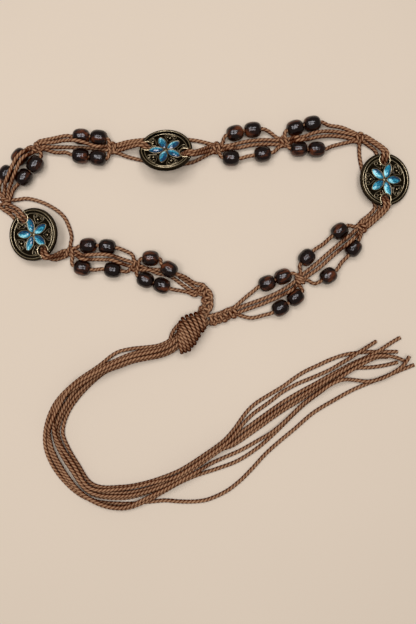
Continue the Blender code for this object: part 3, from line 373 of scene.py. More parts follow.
RIGHT_CORE = ((-4.6, -1.6, 3.6), (0.0, -1.4, 3.8), (4.6, -1.6, 3.6))
KNOT_WAYS = (LEFT_TIE, LEFT_CORE, RIGHT_CORE, RIGHT_TIE)
SENNIT_KNOTS = 3
# How far along a sennit's short knots the core cords reach, as a share of a whole knot.
SHORT_CORE = 0.6
# How far a cord's first or last point in a knot stays from the next one beside it.
TURN_ROOM = 1.0
EASING_PASSES = 7

BIG_KNOT_ENDS = (Vector((-3.0, -4.6, 0.0)), Vector((-22.0, -21.4, 0.0)))
BIG_KNOT_MIDDLE = 9.0
TURN_POINTS = 44
# Each turn of the big knot: its upper end, its crown and its lower end on the table, and how high its
# crown stands over the knot's middle.
TURNS = (
    ((-6.0, -0.6), (-3.3, -5.6), (-2.6, -12.0), 6.4),
    ((-9.4, -1.2), (-5.9, -7.5), (-4.1, -14.2), 7.7),
    ((-12.9, -2.3), (-8.5, -9.4), (-6.8, -18.2), 8.6),
    ((-16.2, -3.2), (-11.0, -11.3), (-8.6, -20.6), 8.9),
    ((-19.2, -4.9), (-13.4, -13.4), (-10.0, -23.8), 8.8),
    ((-21.0, -7.6), (-15.6, -15.9), (-12.2, -25.6), 8.3),
    ((-21.8, -10.6), (-17.4, -18.4), (-14.2, -28.6), 7.4),
    ((-22.2, -13.8), (-18.9, -20.9), (-17.0, -29.6), 6.3),
    ((-22.4, -17.2), (-20.7, -23.2), (-19.8, -30.6), 5.0),
)
# Where the free ends start inside the big knot: a share back along it, their heights in four layers,
# and how much narrower they lie there than in the bundle.
INSIDE_SHARE = 0.25
INSIDE_HEIGHT = 5.0
INSIDE_LAYER = 2.4
INSIDE_LAYERS = 4
INSIDE_WIDTH = 0.8


def unit(degrees):
    """The flat direction at an angle from X."""
    return Vector((math.cos(math.radians(degrees)), math.sin(math.radians(degrees)), 0.0))


def flat(point):
    """Two coordinates as a place at height zero."""
    return Vector((*point, 0.0))


def line_length(line):
    """The length of a line of points."""
    return sum((b - a).length for a, b in zip(line, line[1:]))


def hermite(start, leave, end, arrive, share):
    """A point on the cubic between two places with their directions of travel."""
    reach = (end - start).length
    square, cube = share**2, share**3
    return (
        start * (2 * cube - 3 * square + 1)
        + leave * reach * (cube - 2 * square + share)
        + end * (3 * square - 2 * cube)
        + arrive * reach * (cube - square)
    )


def smooth_line(stops, step):
    """Points along a smooth line through stops, each a place and a direction or None. Two stops that
    share their direction object are the ends of a bore, and the line between them is straight."""
    places = [place for place, _ in stops]
    headings = []
    for index, (place, heading) in enumerate(stops):
        ahead = places[min(index + 1, len(places) - 1)]
        behind = places[max(index - 1, 0)]
        headings.append(heading or (ahead - behind).normalized())
    line = [places[0].copy()]
    for index in range(len(stops) - 1):
        start, end = places[index], places[index + 1]
        count = max(1, round((end - start).length / step))
        if stops[index][1] is not None and stops[index][1] is stops[index + 1][1]:
            count = 1
        for number in range(1, count + 1):
            line.append(hermite(start, headings[index], end, headings[index + 1], number / count))
    return line


def line_through(points, step=FINE_STEP):
    """Points along a smooth line through places that have no direction of their own."""
    return smooth_line([(point, None) for point in points], step)


def bead_stops(bead):
    """The two ends of a bead's bore, just outside its faces."""
    along = unit(bead.bore)
    middle = Vector((bead.x, bead.y, bead.z))
    reach = BEAD_LENGTH / 2 + BORE_END
    return [(middle - along * reach, along), (middle + along * reach, along)]


def disc_place(medallion):
    """The matrix from a medallion's own frame, notch line along X and back at z = 0, to the table."""
    raised = unit(medallion.raised)
    tilt = Matrix.Rotation(math.radians(medallion.tilt), 4, raised.cross(Vector((0, 0, 1))))
    turn = Matrix.Rotation(math.radians(medallion.notch), 4, "Z")
    return Matrix.Translation((medallion.x, medallion.y, medallion.z)) @ tilt @ turn


def lane_stops(text, entry):
    """A cord's way over a medallion's bar, down its hole, behind it and out over the other bar."""
    name, _, side = text.split()
    place = disc_place(MEDALLION[name])
    steps = [*NOTCH_STEPS, *((-along, height) for along, height in reversed(NOTCH_STEPS))]
    stops = [(place @ Vector((along, NOTCH_LANE * int(side), height)), None) for along, height in steps]
    if (stops[0][0] - entry).length > (stops[-1][0] - entry).length:
        stops.reverse()
    return stops


def merged(stops):
    """The stops with each close pair, such as the facing bores of two beads, made one."""
    kept = [stops[0]]
    for place, heading in stops[1:]:
        if (place - kept[-1][0]).length < CLOSE_STOPS:
            kept[-1] = ((place + kept[-1][0]) / 2, None)
        else:
            kept.append((place, heading))
    return kept


def over_bead(bead, point):
    """The height at which a cord's middle clears a bead, or zero away from it."""
    offset = Vector((point.x - bead.x, point.y - bead.y, 0.0))
    along = abs(offset.dot(unit(bead.bore)))
    across = offset.dot(unit(bead.bore + 90))
    half, belly = BEAD_LENGTH / 2, BEAD_DIAMETER / 2
    if along > half + BEAD_ROOM:
        return 0.0
    taper = min(1.0, max(0.0, (along / half - BEAD_BELLY) / (1 - BEAD_BELLY)))
    past = max(0.0, along - half)
    clear = belly + (BEAD_FACE / 2 - belly) * taper + math.sqrt(BEAD_ROOM**2 - past**2)
    if across**2 + (bead.z - point.z) ** 2 >= clear**2:
        return 0.0
    return bead.z + math.sqrt(clear**2 - across**2)


def over_cord(other, point):
    """The height at which a cord's middle clears the samples of one that lies already."""
    height = 0.0
    for sample in other:
        apart = (sample.xy - point.xy).length
        if apart < CORD_PITCH:
            height = max(height, sample.z + math.sqrt(CORD_PITCH**2 - apart**2))
    return height


def eased(heights, reach=2):
    """The upper envelope of a row of heights, smoothed: nowhere lower than the row itself."""
    def around(row, index):
        return row[max(0, index - reach):index + reach + 1]

    spread = [max(around(heights, index)) for index in range(len(heights))]
    return [sum(around(spread, index)) / len(around(spread, index)) for index in range(len(heights))]


def lay(line, others, beads, held=0.0):
    """Lifts a line of points over the beads and cords that lie under it, but not its held ends."""
    edges = [min((point - line[0]).length, (point - line[-1]).length) for point in line]
    needed = []
    for point, edge in zip(line, edges):
        rest = [CORD_RADIUS]
        if edge >= held:
            rest += [over_cord(other, point) for other in others]
            rest += [over_bead(bead, point) for bead in beads]
        needed.append(max(rest))
    laid = []
    for point, edge, height in zip(line, edges, eased(needed)):
        share = min(1.0, edge / held) if held else 1.0
        laid.append(Vector((point.x, point.y, point.z + max(0.0, height - point.z) * share)))
    return laid


def end_line(number):
    """The fine line of one free cord end: its lane in the bundle, then its own route."""
    spine = [flat(point) for point in BUNDLE_LINE]
    points = []
    for index, place in enumerate(spine):
        ahead, behind = spine[min(index + 1, len(spine) - 1)], spine[max(index - 1, 0)]
        forward = (ahead - behind).normalized()
        points.append(place + Vector((-forward.y, forward.x, 0.0)) * LANES[number][index])
    return line_through([*points, *map(flat, END_ROUTES[number])], HEIGHT_STEP)


class Value:
    """A socket of a node tree. Arithmetic on it adds Math nodes."""

    def __init__(self, graph, socket):
        self.graph = graph
        self.socket = socket

    def math(self, operation, *values):
        """Adds a Math node with this value first."""
        inputs = dict(enumerate((self, *values)))
        return self.graph.node("ShaderNodeMath", {"operation": operation}, inputs)

    def __add__(self, other):
        return self.math("ADD", other)

    def __sub__(self, other):
        return self.math("SUBTRACT", other)

    def __rsub__(self, other):
        return self.graph.node("ShaderNodeMath", {"operation": "SUBTRACT"}, {0: other, 1: self})

    def __mul__(self, other):
        return self.math("MULTIPLY", other)

    def __truediv__(self, other):
        return self.math("DIVIDE", other)


class Graph:
    """The node tree of a material or a geometry, built from nodes and expressions."""

    def __init__(self, tree):
        self.tree = tree

    def node(self, kind, settings=None, inputs=None, output=0):
        """Adds a node: its settings first, then a value or a link for each socket."""
        made = self.tree.nodes.new(kind)
        for key, value in (settings or {}).items():
            if key == "stops":
                self.set_stops(made.color_ramp, value)
            else:
                setattr(made, key, value)
        for key, value in (inputs or {}).items():
            self.feed(made.inputs[key], value)
        return Value(self, made.outputs[output])

    def vectors(self, operation, first, second):
        return self.node("ShaderNodeVectorMath", {"operation": operation}, {0: first, 1: second})

    def feed(self, socket, value):
        """Links a node's value to a socket, or sets a plain one."""
        if isinstance(value, Value):
            self.tree.links.new(value.socket, socket)
        else:
            socket.default_value = value

    def set_stops(self, ramp, stops):
        while len(ramp.elements) < len(stops):
            ramp.elements.new(1.0)
        for element, (place, colour) in zip(ramp.elements, stops):
            element.position = place
            element.color = (*colour, 1.0)


class Finish(Graph):
    """A material and its shader."""

    def __init__(self, name, constants):
        self.material = bpy.data.materials.new(name)
        self.material.use_nodes = True
        super().__init__(self.material.node_tree)
        self.shader = self.tree.nodes["Principled BSDF"]
        for key, value in constants.items():
            self.shader.inputs[key].default_value = value

    def shade(self, socket, value):
        self.feed(self.shader.inputs[socket], value)

    def attribute(self, name, output="Fac"):
        return self.node("ShaderNodeAttribute", {"attribute_name": name}, output=output)

    def place(self):
        return self.node("ShaderNodeTexCoord", output="Object")

    def noise(self, vector, scale, detail=2.0, roughness=0.5):
        inputs = {"Vector": vector, "Scale": scale, "Detail": detail, "Roughness": roughness}
        return self.node("ShaderNodeTexNoise", inputs=inputs)

    def ramp(self, value, stops):
        return self.node("ShaderNodeValToRGB", {"stops": stops}, {0: value})

    def mix(self, share, first, second):
        inputs = {0: share, 6: (*first, 1.0), 7: (*second, 1.0)}
        return self.node("ShaderNodeMix", {"data_type": "RGBA"}, inputs, output=2)

    def bump(self, height, distance, strength=1.0):
        inputs = {"Height": height, "Distance": distance, "Strength": strength}
        self.shade("Normal", self.node("ShaderNodeBump", inputs=inputs))


class Maker(Graph):
    """A geometry tree with named inputs, and the modifier that runs it."""

    def __init__(self, name, sizes):
        tree = bpy.data.node_groups.new(name, "GeometryNodeTree")
        super().__init__(tree)
        self.sockets = {}
        kinds = {"Geometry": "NodeSocketGeometry", "Material": "NodeSocketMaterial", **sizes}
        for label, kind in kinds.items():
            self.sockets[label] = tree.interface.new_socket(label, in_out="INPUT", socket_type=kind)
        tree.interface.new_socket("Geometry", in_out="OUTPUT", socket_type="NodeSocketGeometry")
        self.entry = tree.nodes.new("NodeGroupInput")
        self.end = tree.nodes.new("NodeGroupOutput")

    def given(self, label):
        return Value(self, self.entry.outputs[label])

    def store(self, geometry, name, value, kind="FLOAT"):
        """Stores a value at each point under a name."""
        return self.node("GeometryNodeStoreNamedAttribute", {"data_type": kind, "domain": "POINT"},
                         {"Geometry": geometry, "Name": name, "Value": value})

    def stored(self, name, kind="FLOAT"):
        return self.node("GeometryNodeInputNamedAttribute", {"data_type": kind}, {"Name": name})

    def copies(self, points, piece, turn):
        return self.node("GeometryNodeInstanceOnPoints",
                         inputs={"Points": points, "Instance": piece, "Rotation": turn})

    def close(self, geometry):
        """Ends the tree in Realize Instances and Set Material."""
        whole = self.node("GeometryNodeRealizeInstances", inputs={0: geometry})
        material = self.given("Material")
        painted = self.node("GeometryNodeSetMaterial", inputs={0: whole, "Material": material})
        self.feed(self.end.inputs[0], painted)
        return self

    def run(self, thing, values):
        """The plain mesh that the tree makes of an object, which is removed."""
        modifier = thing.modifiers.new(self.tree.name, "NODES")
        modifier.node_group = self.tree
        for label, value in values.items():
            modifier[self.sockets[label].identifier] = value
        return plain_mesh(thing)


def twisted_cord_maker():
    """Three plies laid together along a curve: a lobed section, turned by the curve's tilt."""
    maker = Maker("twisted_cord", {"Diameter": "NodeSocketFloat", "Step": "NodeSocketFloat"})
    smooth = maker.node("GeometryNodeCurveSplineType", {"spline_type": "CATMULL_ROM"},
                        {"Curve": maker.given("Geometry")})
    smooth = maker.node("GeometryNodeSetSplineResolution",
                        inputs={"Geometry": smooth, "Resolution": CURVE_STEPS})
    even = maker.node("GeometryNodeResampleCurve", {"mode": "LENGTH"},
                      {"Curve": smooth, "Length": maker.given("Step")})
    even = maker.store(even, "along", maker.node("GeometryNodeSplineParameter", output="Length"))
    place = maker.node("GeometryNodeInputPosition")
    level = maker.node("ShaderNodeSeparateXYZ", inputs={0: place}, output="Z")
    even = maker.store(even, "level", level)
    radius = maker.given("Diameter") * 0.5
    circle = maker.node("GeometryNodeCurvePrimitiveCircle", {"mode": "RADIUS"},
                        {"Resolution": PLY_POINTS, "Radius": radius})
    number = maker.node("GeometryNodeInputIndex")
    lobe = (number * (PLIES * math.pi / PLY_POINTS)).math("SINE").math("ABSOLUTE")
    lobed = maker.node("ShaderNodeVectorMath", {"operation": "SCALE"},
                       {0: place, "Scale": lobe * PLY_RISE + VALLEY})
    section = maker.node("GeometryNodeSetPosition", inputs={"Geometry": circle, "Position": lobed})
    section = maker.store(section, "lobe", lobe)
    section = maker.store(section, "section", place, "FLOAT_VECTOR")
    body = maker.node("GeometryNodeCurveToMesh",
                      inputs={"Curve": even, "Profile Curve": section, "Fill Caps": True})
    # How high each point stands in its cord's section, which the cord's finish uses to paint light on
    # top and shade on the sides.
    body = maker.store(body, "upper", (level - maker.stored("level")) / radius)
    return maker.close(body)


def ring_maker():
    """Copies of a piece around the Z axis."""
    maker = Maker("around_the_middle", {"Count": "NodeSocketInt", "First Angle": "NodeSocketFloat"})
    count = maker.given("Count")
    points = maker.node("GeometryNodePoints", inputs={"Count": count})
    angle = maker.node("GeometryNodeInputIndex") * math.tau / count + maker.given("First Angle")
    turn = maker.node("ShaderNodeCombineXYZ", inputs={"Z": angle})
    return maker.close(maker.copies(points, maker.given("Geometry"), turn))


def strung_bead_maker():
    """One bead on each point, turned by the point's own angles."""
    maker = Maker("strung_beads", {"Bead": "NodeSocketObject"})
    bead = {"Object": maker.given("Bead")}
    bead = maker.node("GeometryNodeObjectInfo", inputs=bead, output="Geometry")
    number = maker.node("GeometryNodeInputIndex") + 0.0
    points = maker.store(maker.given("Geometry"), "bead_number", number)
    return maker.close(maker.copies(points, bead, maker.stored("turn", "FLOAT_VECTOR")))


def add_object(name, data):
    """A new object at the origin."""
    thing = bpy.data.objects.new(name, data)
    bpy.context.scene.collection.objects.link(thing)
    return thing


def place_piece(thing, slot, *nodes):
    """Hangs a finished piece on the belt in place of its plain nodes, which are hidden. Its slot is not
    used.
    """
    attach(thing, "root")
    if nodes:
        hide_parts(*nodes)
    return thing


def plain_mesh(thing):
    """The plain mesh that an object's modifiers make. The object is removed."""
    bpy.context.view_layer.update()
    seen = thing.evaluated_get(bpy.context.evaluated_depsgraph_get())
    mesh = bpy.data.meshes.new_from_object(seen)
    thing.modifiers.clear()
    bpy.data.objects.remove(thing, do_unlink=True)
    return mesh


def joined(meshes):
    """One mesh of several, each with its materials and attributes."""
    things = [add_object("part", mesh) for mesh in meshes]
    for other in bpy.context.selected_objects:
        other.select_set(False)
    for thing in things:
        thing.select_set(True)
    bpy.context.view_layer.objects.active = things[0]
    bpy.ops.object.join()
    mesh = things[0].data
    bpy.data.objects.remove(things[0], do_unlink=True)
    return mesh


def evenly(line, step):
    """Points a step apart along a line of points, with both ends kept."""
    lengths = [(b - a).length for a, b in zip(line, line[1:])]
    whole = sum(lengths)
    count = max(2, round(whole / step))
    points, index, passed = [line[0].copy()], 0, 0.0
    for number in range(1, count):
        target = whole * number / count
        while index < len(lengths) - 1 and passed + lengths[index] < target:
            passed += lengths[index]
            index += 1
        share = (target - passed) / max(lengths[index], 1e-9)
        points.append(line[index].lerp(line[index + 1], min(1.0, share)))
    return [*points, line[-1].copy()]


def relaxed(line, passes):
    """A line with its corners eased, as a limp cord eases them."""
    for _ in range(passes):
        threes = zip(line, line[1:], line[2:])
        line = [line[0], *((before + here * 2 + after) / 4 for before, here, after in threes), line[-1]]
    return line


def add_spline(curve, points, cyclic):
    """Straight steps through points in metres, as one spline of a curve."""
    spline = curve.splines.new("POLY")
    spline.points.add(len(points) - 1)
    for index, point in enumerate(points):
        spline.points[index].co = (*point, 1.0)
    spline.use_cyclic_u = cyclic
    return spline


def cord_curve(name, lines, level=True, cyclic=False, started=None):
    """Curves along lines of points, with the twist of their plies as tilt. A level curve keeps its
    section upright, and one that has started already goes on with its twist."""
    curve = bpy.data.curves.new(name, "CURVE")
    curve.dimensions = "3D"
    curve.twist_mode = "Z_UP" if level else "MINIMUM"
    lay_length = bpy.context.scene.belt_cord.lay / MM
    for order, line in enumerate(lines):
        spline = add_spline(curve, metres(line), cyclic)
        passed = started[order] % lay_length if started else 0.0
        turns = math.tau / lay_length
        if cyclic:
            whole = line_length([*line, line[0]])
            turns = math.tau * max(1, round(whole / lay_length * PLIES)) / PLIES / whole
        for index, point in enumerate(line):
            spline.points[index].tilt = -passed * turns
            if index < len(line) - 1:
                passed += (line[index + 1] - point).length
    return add_object(name, curve)


def knot_place(knot):
    """The matrix from a square knot's own frame to the table."""
    turn = Matrix.Rotation(math.radians(knot.heading), 4, "Z")
    return Matrix.Translation((knot.x, knot.y, knot.lift)) @ turn


def sennit_places(stops):
    """The places of the knots that follow each other along a sennit."""
    line = line_through(map(flat, stops), 1.0)
    line = evenly(line, line_length(line) / (2 * SENNIT_KNOTS))
    places = []
    for index in range(1, len(line), 2):
        forward = line[index + 1] - line[index - 1]
        heading = math.degrees(math.atan2(forward.y, forward.x))
        places.append(knot_place(Knot(line[index].x, line[index].y, heading)))
    return places


def knot_points(place, lane, short=False):
    """A cord's points through a square knot. A short one lies close to the next knot of a sennit."""
    points = KNOT_WAYS[lane]
    if short and points in (LEFT_CORE, RIGHT_CORE):
        points = [(along * SHORT_CORE, across, height) for along, across, height in points]
    elif short:
        points = points[1:-1]
    return [place @ Vector(point) for point in points]


def run_stops(number, lane):
    """The stops of one cord between two knots, from its row of the table."""
    row = RUNS[number][lane]
    if isinstance(row, str):
        return lane_stops(row, knot_place(KNOTS[number]).translation)
    stops = []
    for item in row:
        stops += bead_stops(BEAD[item]) if item in BEAD else [(Vector(item), None)]
    return stops


def without_return(way, place, near, leaving):
    """A knot's points without those that the cord would have to turn back for."""
    reach = (place.inverted() @ near).x
    half = len(way) // 2
    kept = list(way)
    if leaving:
        while len(kept) > half and (place.inverted() @ kept[-1]).x > reach - TURN_ROOM:
            kept.pop()
    else:
        while len(kept) > half and (place.inverted() @ kept[0]).x < reach + TURN_ROOM:
            kept.pop(0)
    return kept


def belt_lines():
    """For each section and lane, the cord's line through its knot and on to the next one. A section's
    last point is the next one's first."""
    beads = [bead for bead in BEADS if bead.z < RAISED]
    left, right = sennit_places(LEFT_SENNIT), sennit_places(RIGHT_SENNIT)
    lines = {}
    for lane in LANE_NUMBERS:
        stops = {number: run_stops(number, lane) for number in RUNS}
        ways = {
            number: [point for place in places for point in knot_points(place, lane, True)]
            for number, places in ((SECTIONS[0], left), (SECTIONS[-1], right))
        }
        for number, knot in KNOTS.items():
            place = knot_place(knot)
            way = without_return(knot_points(place, lane), place, stops[number - 1][-1][0], False)
            ways[number] = without_return(way, place, stops[number][0][0], True)
        for number, rows in RUNS.items():
            start, end = (ways[number][-1], None), (ways[number + 1][0], None)
            run = merged([start, *stops[number], end])
            run[0], run[-1] = start, end
            line = smooth_line(run, FINE_STEP)
            if not isinstance(rows[lane], str) and not any(item in BEAD for item in rows[lane]):
                line = lay(line, [], beads, KNOT_REST)
            lines[number, lane] = line_through(ways[number]) + line[1:]
        lines[SECTIONS[-1], lane] = line_through(ways[SECTIONS[-1]])
    return lines


def eased_lines(lines):
    """The lines of each cord made even and eased as one, then parted again where the sections meet.
    Each part comes with how far along the cord it starts."""
    parted = {}
    for lane in LANE_NUMBERS:
        whole, cuts = [], []
        for number in SECTIONS:
            line = lines[number, lane]
            whole += line[1:] if whole else line
            cuts.append(line[-1])
        smooth = relaxed(evenly(whole, FINE_STEP / 2), EASING_PASSES)
        marks = [0]
        for cut in cuts[:-1]:
            search = range(marks[-1] + 1, len(smooth))
            marks.append(min(search, key=lambda index: (smooth[index] - cut).length))
        marks.append(len(smooth) - 1)
        passed = 0.0
        for number, first, last in zip(SECTIONS, marks, marks[1:]):
            part = smooth[first:last + 1]
            parted[number, lane] = part, passed
            passed += line_length(part)
    return parted


def blend(first, second, share):
    """A colour that holds a share of the second of two."""
    return tuple((1 - share) * a + share * b for a, b in zip(first, second))


def cord_finish(name, sizes):
    """Waxed cord: painted shade between the plies and painted highlights on their backs and on top,
    where the light falls, with fibres along them.
    """
    finish = Finish(name, {"Roughness": 0.6, "Specular IOR Level": 0.0})
    lobe = finish.attribute("lobe")
    fibre = finish.node("ShaderNodeCombineXYZ", inputs={"Z": finish.attribute("along") * 0.12})
    fibre = finish.vectors("ADD", finish.attribute("section", "Vector"), fibre)
    fibre = finish.noise(fibre, 3200.0, 3.0, 0.6)
    mottle = finish.noise(finish.place(), 55.0, 3.0)
    # Painted light: the upper part of each cord's section is painted paler and its sides darker, as the
    # light from above falls on them.
    top = ((finish.attribute("upper") - 0.35) * 1.9).math("MAXIMUM", 0.0).math("MINIMUM", 1.0)
    # Painted highlight on the backs of the plies and painted shade in the valleys between them, with the
    # fibres and a random mottle of the cord's own tone.
    tone = top * (lobe * 0.4 + 0.2) + lobe * 0.12 + 0.12 + (fibre - 0.5) * 0.45 + (mottle - 0.5) * 0.3
    light, dark = sizes.light, sizes.dark
    # From painted shade near black, through the cord's own brown, to the painted highlight.
    stops = [(0.0, blend(BLACK, dark, 0.4)), (0.22, dark), (0.5, blend(dark, light, 0.35)),
             (0.85, light)]
    finish.shade("Base Color", finish.ramp(tone, stops))
    finish.shade("Roughness", 0.72 - lobe * 0.2)
    finish.bump(fibre, 0.00012, 0.6)
    return finish.material


def wood_finish(name, sizes):
    """Dark lacquered wood with a reddish grain along the bore, its pattern moved on for each bead."""
    finish = Finish(name, {"Specular IOR Level": 0.45})
    number = finish.attribute("bead_number")
    shift = finish.node("ShaderNodeCombineXYZ", inputs={"X": number * 0.037, "Y": number * 0.019})
    own = finish.vectors("ADD", finish.attribute("own_place", "Vector"), shift)
    grain = finish.noise(finish.vectors("MULTIPLY", own, (1.0, 1.0, 0.22)), 260.0, 4.0, 0.6)
    cloud = finish.noise(own, 110.0, 2.0)
    stops = [(0.38, blend(BLACK, sizes.wood, 0.5)), (0.48, sizes.wood), (0.64, sizes.grain)]
    finish.shade("Base Color", finish.ramp(grain * 0.75 + cloud * 0.55 - 0.2, stops))
    finish.shade("Roughness", cloud * 0.1 + 0.1)
    dents = finish.noise(own, 420.0, 1.0)
    finish.bump(dents + grain * 0.25, 0.00028)
    return finish.material


def bronze_finish(name, sizes):
    """Antique bronze: nearly black in the hollows, worn bright on what stands proud."""
    finish = Finish(name, {"Metallic": 1.0})
    own = finish.attribute("own_place", "Vector")
    rub = finish.noise(own, 900.0, 3.0)
    patch = finish.noise(own, 160.0, 2.0)
    tone = finish.attribute("worn") + (rub - 0.5) * 0.35 + (patch - 0.5) * 0.3
    dark, bright = sizes.bronze_dark, sizes.bronze_bright
    stops = [(0.05, blend(BLACK, dark, 0.3)), (0.35, dark), (0.65, blend(dark, bright, 0.4)),
             (0.95, bright)]
    finish.shade("Base Color", finish.ramp(tone, stops))
    finish.shade("Roughness", 0.55 - tone * 0.28)
    finish.bump(rub, 0.00008, 0.5)
    return finish.material


def stone_finish(name, sizes):
    """Foiled glass with painted light: each facet is painted from painted shade to a painted glint by
    its stored share of light, and the stones glow faintly by emission.
    """
    # The faint emission makes the stones glow, a painted light.
    finish = Finish(name, {
        "Roughness": 0.06, "Emission Strength": 0.16, "Coat Weight": 0.5, "Coat Roughness": 0.03})
    deep, blue, pale = sizes.stone_shaded, sizes.stone, sizes.stone_glint
    # From painted shade through the stones' own blue to a painted glint.
    stops = [(0.1, deep), (0.34, blend(deep, blue, 0.4)), (0.62, blue), (0.86, blend(blue, pale, 0.3)),
             (1.0, pale)]
    colour = finish.ramp(finish.attribute("sparkle"), stops)
    finish.shade("Base Color", colour)
    finish.shade("Emission Color", colour)
    return finish.material


def floor_finish(name, sizes):
    """Pale plain paper with the faintest mottle."""
    finish = Finish(name, {"Roughness": 0.85})
    cloud = finish.noise(finish.place(), 6.0, 2.0)
    paler = [min(1.0, part * 1.04) for part in sizes.floor]
    finish.shade("Base Color", finish.mix(cloud, sizes.floor, paler))
    return finish.material


def look(name, make, sizes):
    """The material of that name, made the first time that it is asked for."""
    return bpy.data.materials.get("look_" + name) or make("look_" + name, sizes)


def mesh_of(form, name):
    """The mesh of a form that is finished with, its name as given."""
    mesh = bpy.data.meshes.new(name)
    form.to_mesh(mesh)
    form.free()
    return mesh


def turned_mesh(name, profile, closed=True):
    """A mesh turned round Z from a profile of (radius, height) in millimetres. A profile that isn't
    closed starts and ends on the axis."""
    form = bmesh.new()
    columns = []
    segments = SEGMENTS[name]
    for number in range(segments):
        angle = math.tau * number / segments
        columns.append([
            form.verts.new((radius * math.cos(angle) * MM, radius * math.sin(angle) * MM, height * MM))
            for radius, height in profile
        ])
    rows = len(profile) if closed else len(profile) - 1
    for here, after in zip(columns, [*columns[1:], columns[0]]):
        for row in range(rows):
            following = (row + 1) % len(profile)
            form.faces.new((here[row], after[row], after[following], here[following]))
    bmesh.ops.remove_doubles(form, verts=form.verts, dist=0.001 * MM)
    bmesh.ops.recalc_face_normals(form, faces=form.faces)
    mesh = mesh_of(form, name)
    mesh.shade_smooth()
    return mesh


def wire_mesh(name, lines, radius, cyclic=False, sides=3):
    """Round wires along lines of points in millimetres."""
    curve = bpy.data.curves.new(name, "CURVE")
    curve.dimensions = "3D"
    curve.bevel_depth = radius * MM
    curve.bevel_resolution = sides
    curve.use_fill_caps = True
    for line in lines:
        add_spline(curve, [Vector(point) * MM for point in line], cyclic)
    mesh = plain_mesh(add_object(name, curve))
    mesh.shade_smooth()
    return mesh


def painted(mesh, worn):
    """A mesh with how worn its metal is, stored at each point: one number, or a rule for a place."""
    data = mesh.attributes.new("worn", "FLOAT", "POINT").data
    for index, vertex in enumerate(mesh.vertices):
        data[index].value = worn(vertex.co) if callable(worn) else worn
    return mesh


def with_own_place(mesh):
    """Stores each point's place in the piece's own frame, for its pattern."""
    data = mesh.attributes.new("own_place", "FLOAT_VECTOR", "POINT").data
    for index, vertex in enumerate(mesh.vertices):
        data[index].vector = vertex.co
    return mesh


def hole_cutters(name, holes):
    """One cutting mesh of round holes, each a place and a radius."""
    form = bmesh.new()
    for place, radius in holes:
        bmesh.ops.create_cone(form, cap_ends=True, segments=SEGMENTS[name], radius1=radius * MM,
                              radius2=radius * MM, depth=CUT_DEPTH * MM, matrix=place)
    return mesh_of(form, name)


def notch_cutters(radius):
    """The two round notch holes."""
    places = [Matrix.Translation((side * HOLE_PLACE * MM, 0, 0)) for side in (1, -1)]
    return hole_cutters("notches", [(place, radius) for place in places])


def bar_cutters():
    """What is taken from the rim over each notch, down to a low bar."""
    form = bmesh.new()
    along, height = BAR_PLACE
    for side in (1, -1):
        place = Matrix.Translation((side * along * MM, 0, height * MM))
        size = Matrix.Diagonal((*(part * MM for part in BAR_SIZE), 1.0))
        bmesh.ops.create_cube(form, size=1.0, matrix=place @ size)
    return mesh_of(form, "bars")


def pierced_cutters():
    """The small gaps between the scrolls, the same in each space between two stones."""
    holes = []
    for number in range(STONE_COUNT):
        turn = Matrix.Rotation(math.radians(GAP_FIRST + 360 / STONE_COUNT * number), 4, "Z")
        for along, across, radius in PIERCED:
            holes.append((turn @ Matrix.Translation((along * MM, across * MM, 0)), radius))
    return hole_cutters("pierced", holes)


def cut_mesh(mesh, *cutters):
    """A mesh with others cut out of it."""
    body = add_object(mesh.name, mesh)
    tools = [add_object(cutter.name, cutter.copy()) for cutter in cutters]
    for tool in tools:
        cut = body.modifiers.new(tool.name, "BOOLEAN")
        cut.operation = "DIFFERENCE"
        cut.object = tool
    result = plain_mesh(body)
    for tool in tools:
        bpy.data.objects.remove(tool, do_unlink=True)
    result.shade_smooth()
    result.set_sharp_from_angle(angle=math.radians(SHARP_ANGLE))
    return result


def arc_line(radius, first, last, height, count=32):
    """Points along a flat arc round the middle, its angles in degrees."""
    steps = [math.radians(first + (last - first) * number / count) for number in range(count + 1)]
    return [(radius * math.cos(step), radius * math.sin(step), height) for step in steps]


def collar_line(side):
    """The raised horseshoe round a notch, run out to the rim."""
    arc = [(x, y) for x, y, _ in arc_line(COLLAR_RADIUS, *COLLAR_ARC, 0.0)]
    line = [*COLLAR_FOOT, *arc, *((x, -y) for x, y in reversed(COLLAR_FOOT))]
    return [(side * (HOLE_PLACE + x), y, COLLAR_HEIGHT) for x, y in line]


def stone_outline(half, side, height, count):
    """The pointed outline of a marquise stone round its own middle."""
    points = []
    for number in range(count):
        angle = math.tau * number / count
        y = math.sin(angle)
        points.append((half * math.cos(angle), side * y * abs(y) ** STONE_TAPER, height))
    return points


def placed_on_ring(mesh, count, first, material):
    """Copies of a mesh round the medallion's middle, by Geometry Nodes."""
    maker = ring_maker()
    values = {"Count": count, "First Angle": math.radians(first), "Material": material}
    return maker.run(add_object(mesh.name, mesh), values)


def stone_mesh():
    """One faceted stone: a girdle, two belts of facets and a low crown."""
    form = bmesh.new()
    rings = [
        [form.verts.new(Vector(point) * MM) for point in stone_outline(*row, STONE_POINTS)]
        for row in STONE_RINGS
    ]
    for low, high in zip(rings, rings[1:]):
        for index in range(STONE_POINTS):
            after = (index + 1) % STONE_POINTS
            form.faces.new((low[index], low[after], high[after]))
            form.faces.new((low[index], high[after], high[index]))
    tip = form.verts.new([part * MM for part in STONE_TIP])
    for index in range(STONE_POINTS):
        form.faces.new((rings[-1][index], rings[-1][(index + 1) % STONE_POINTS], tip))
    form.faces.new(reversed(rings[0]))
    bmesh.ops.recalc_face_normals(form, faces=form.faces)
    mesh = mesh_of(form, "stone")
    mesh.transform(Matrix.Translation((STONE_PLACE * MM, 0, 0)))
    return mesh


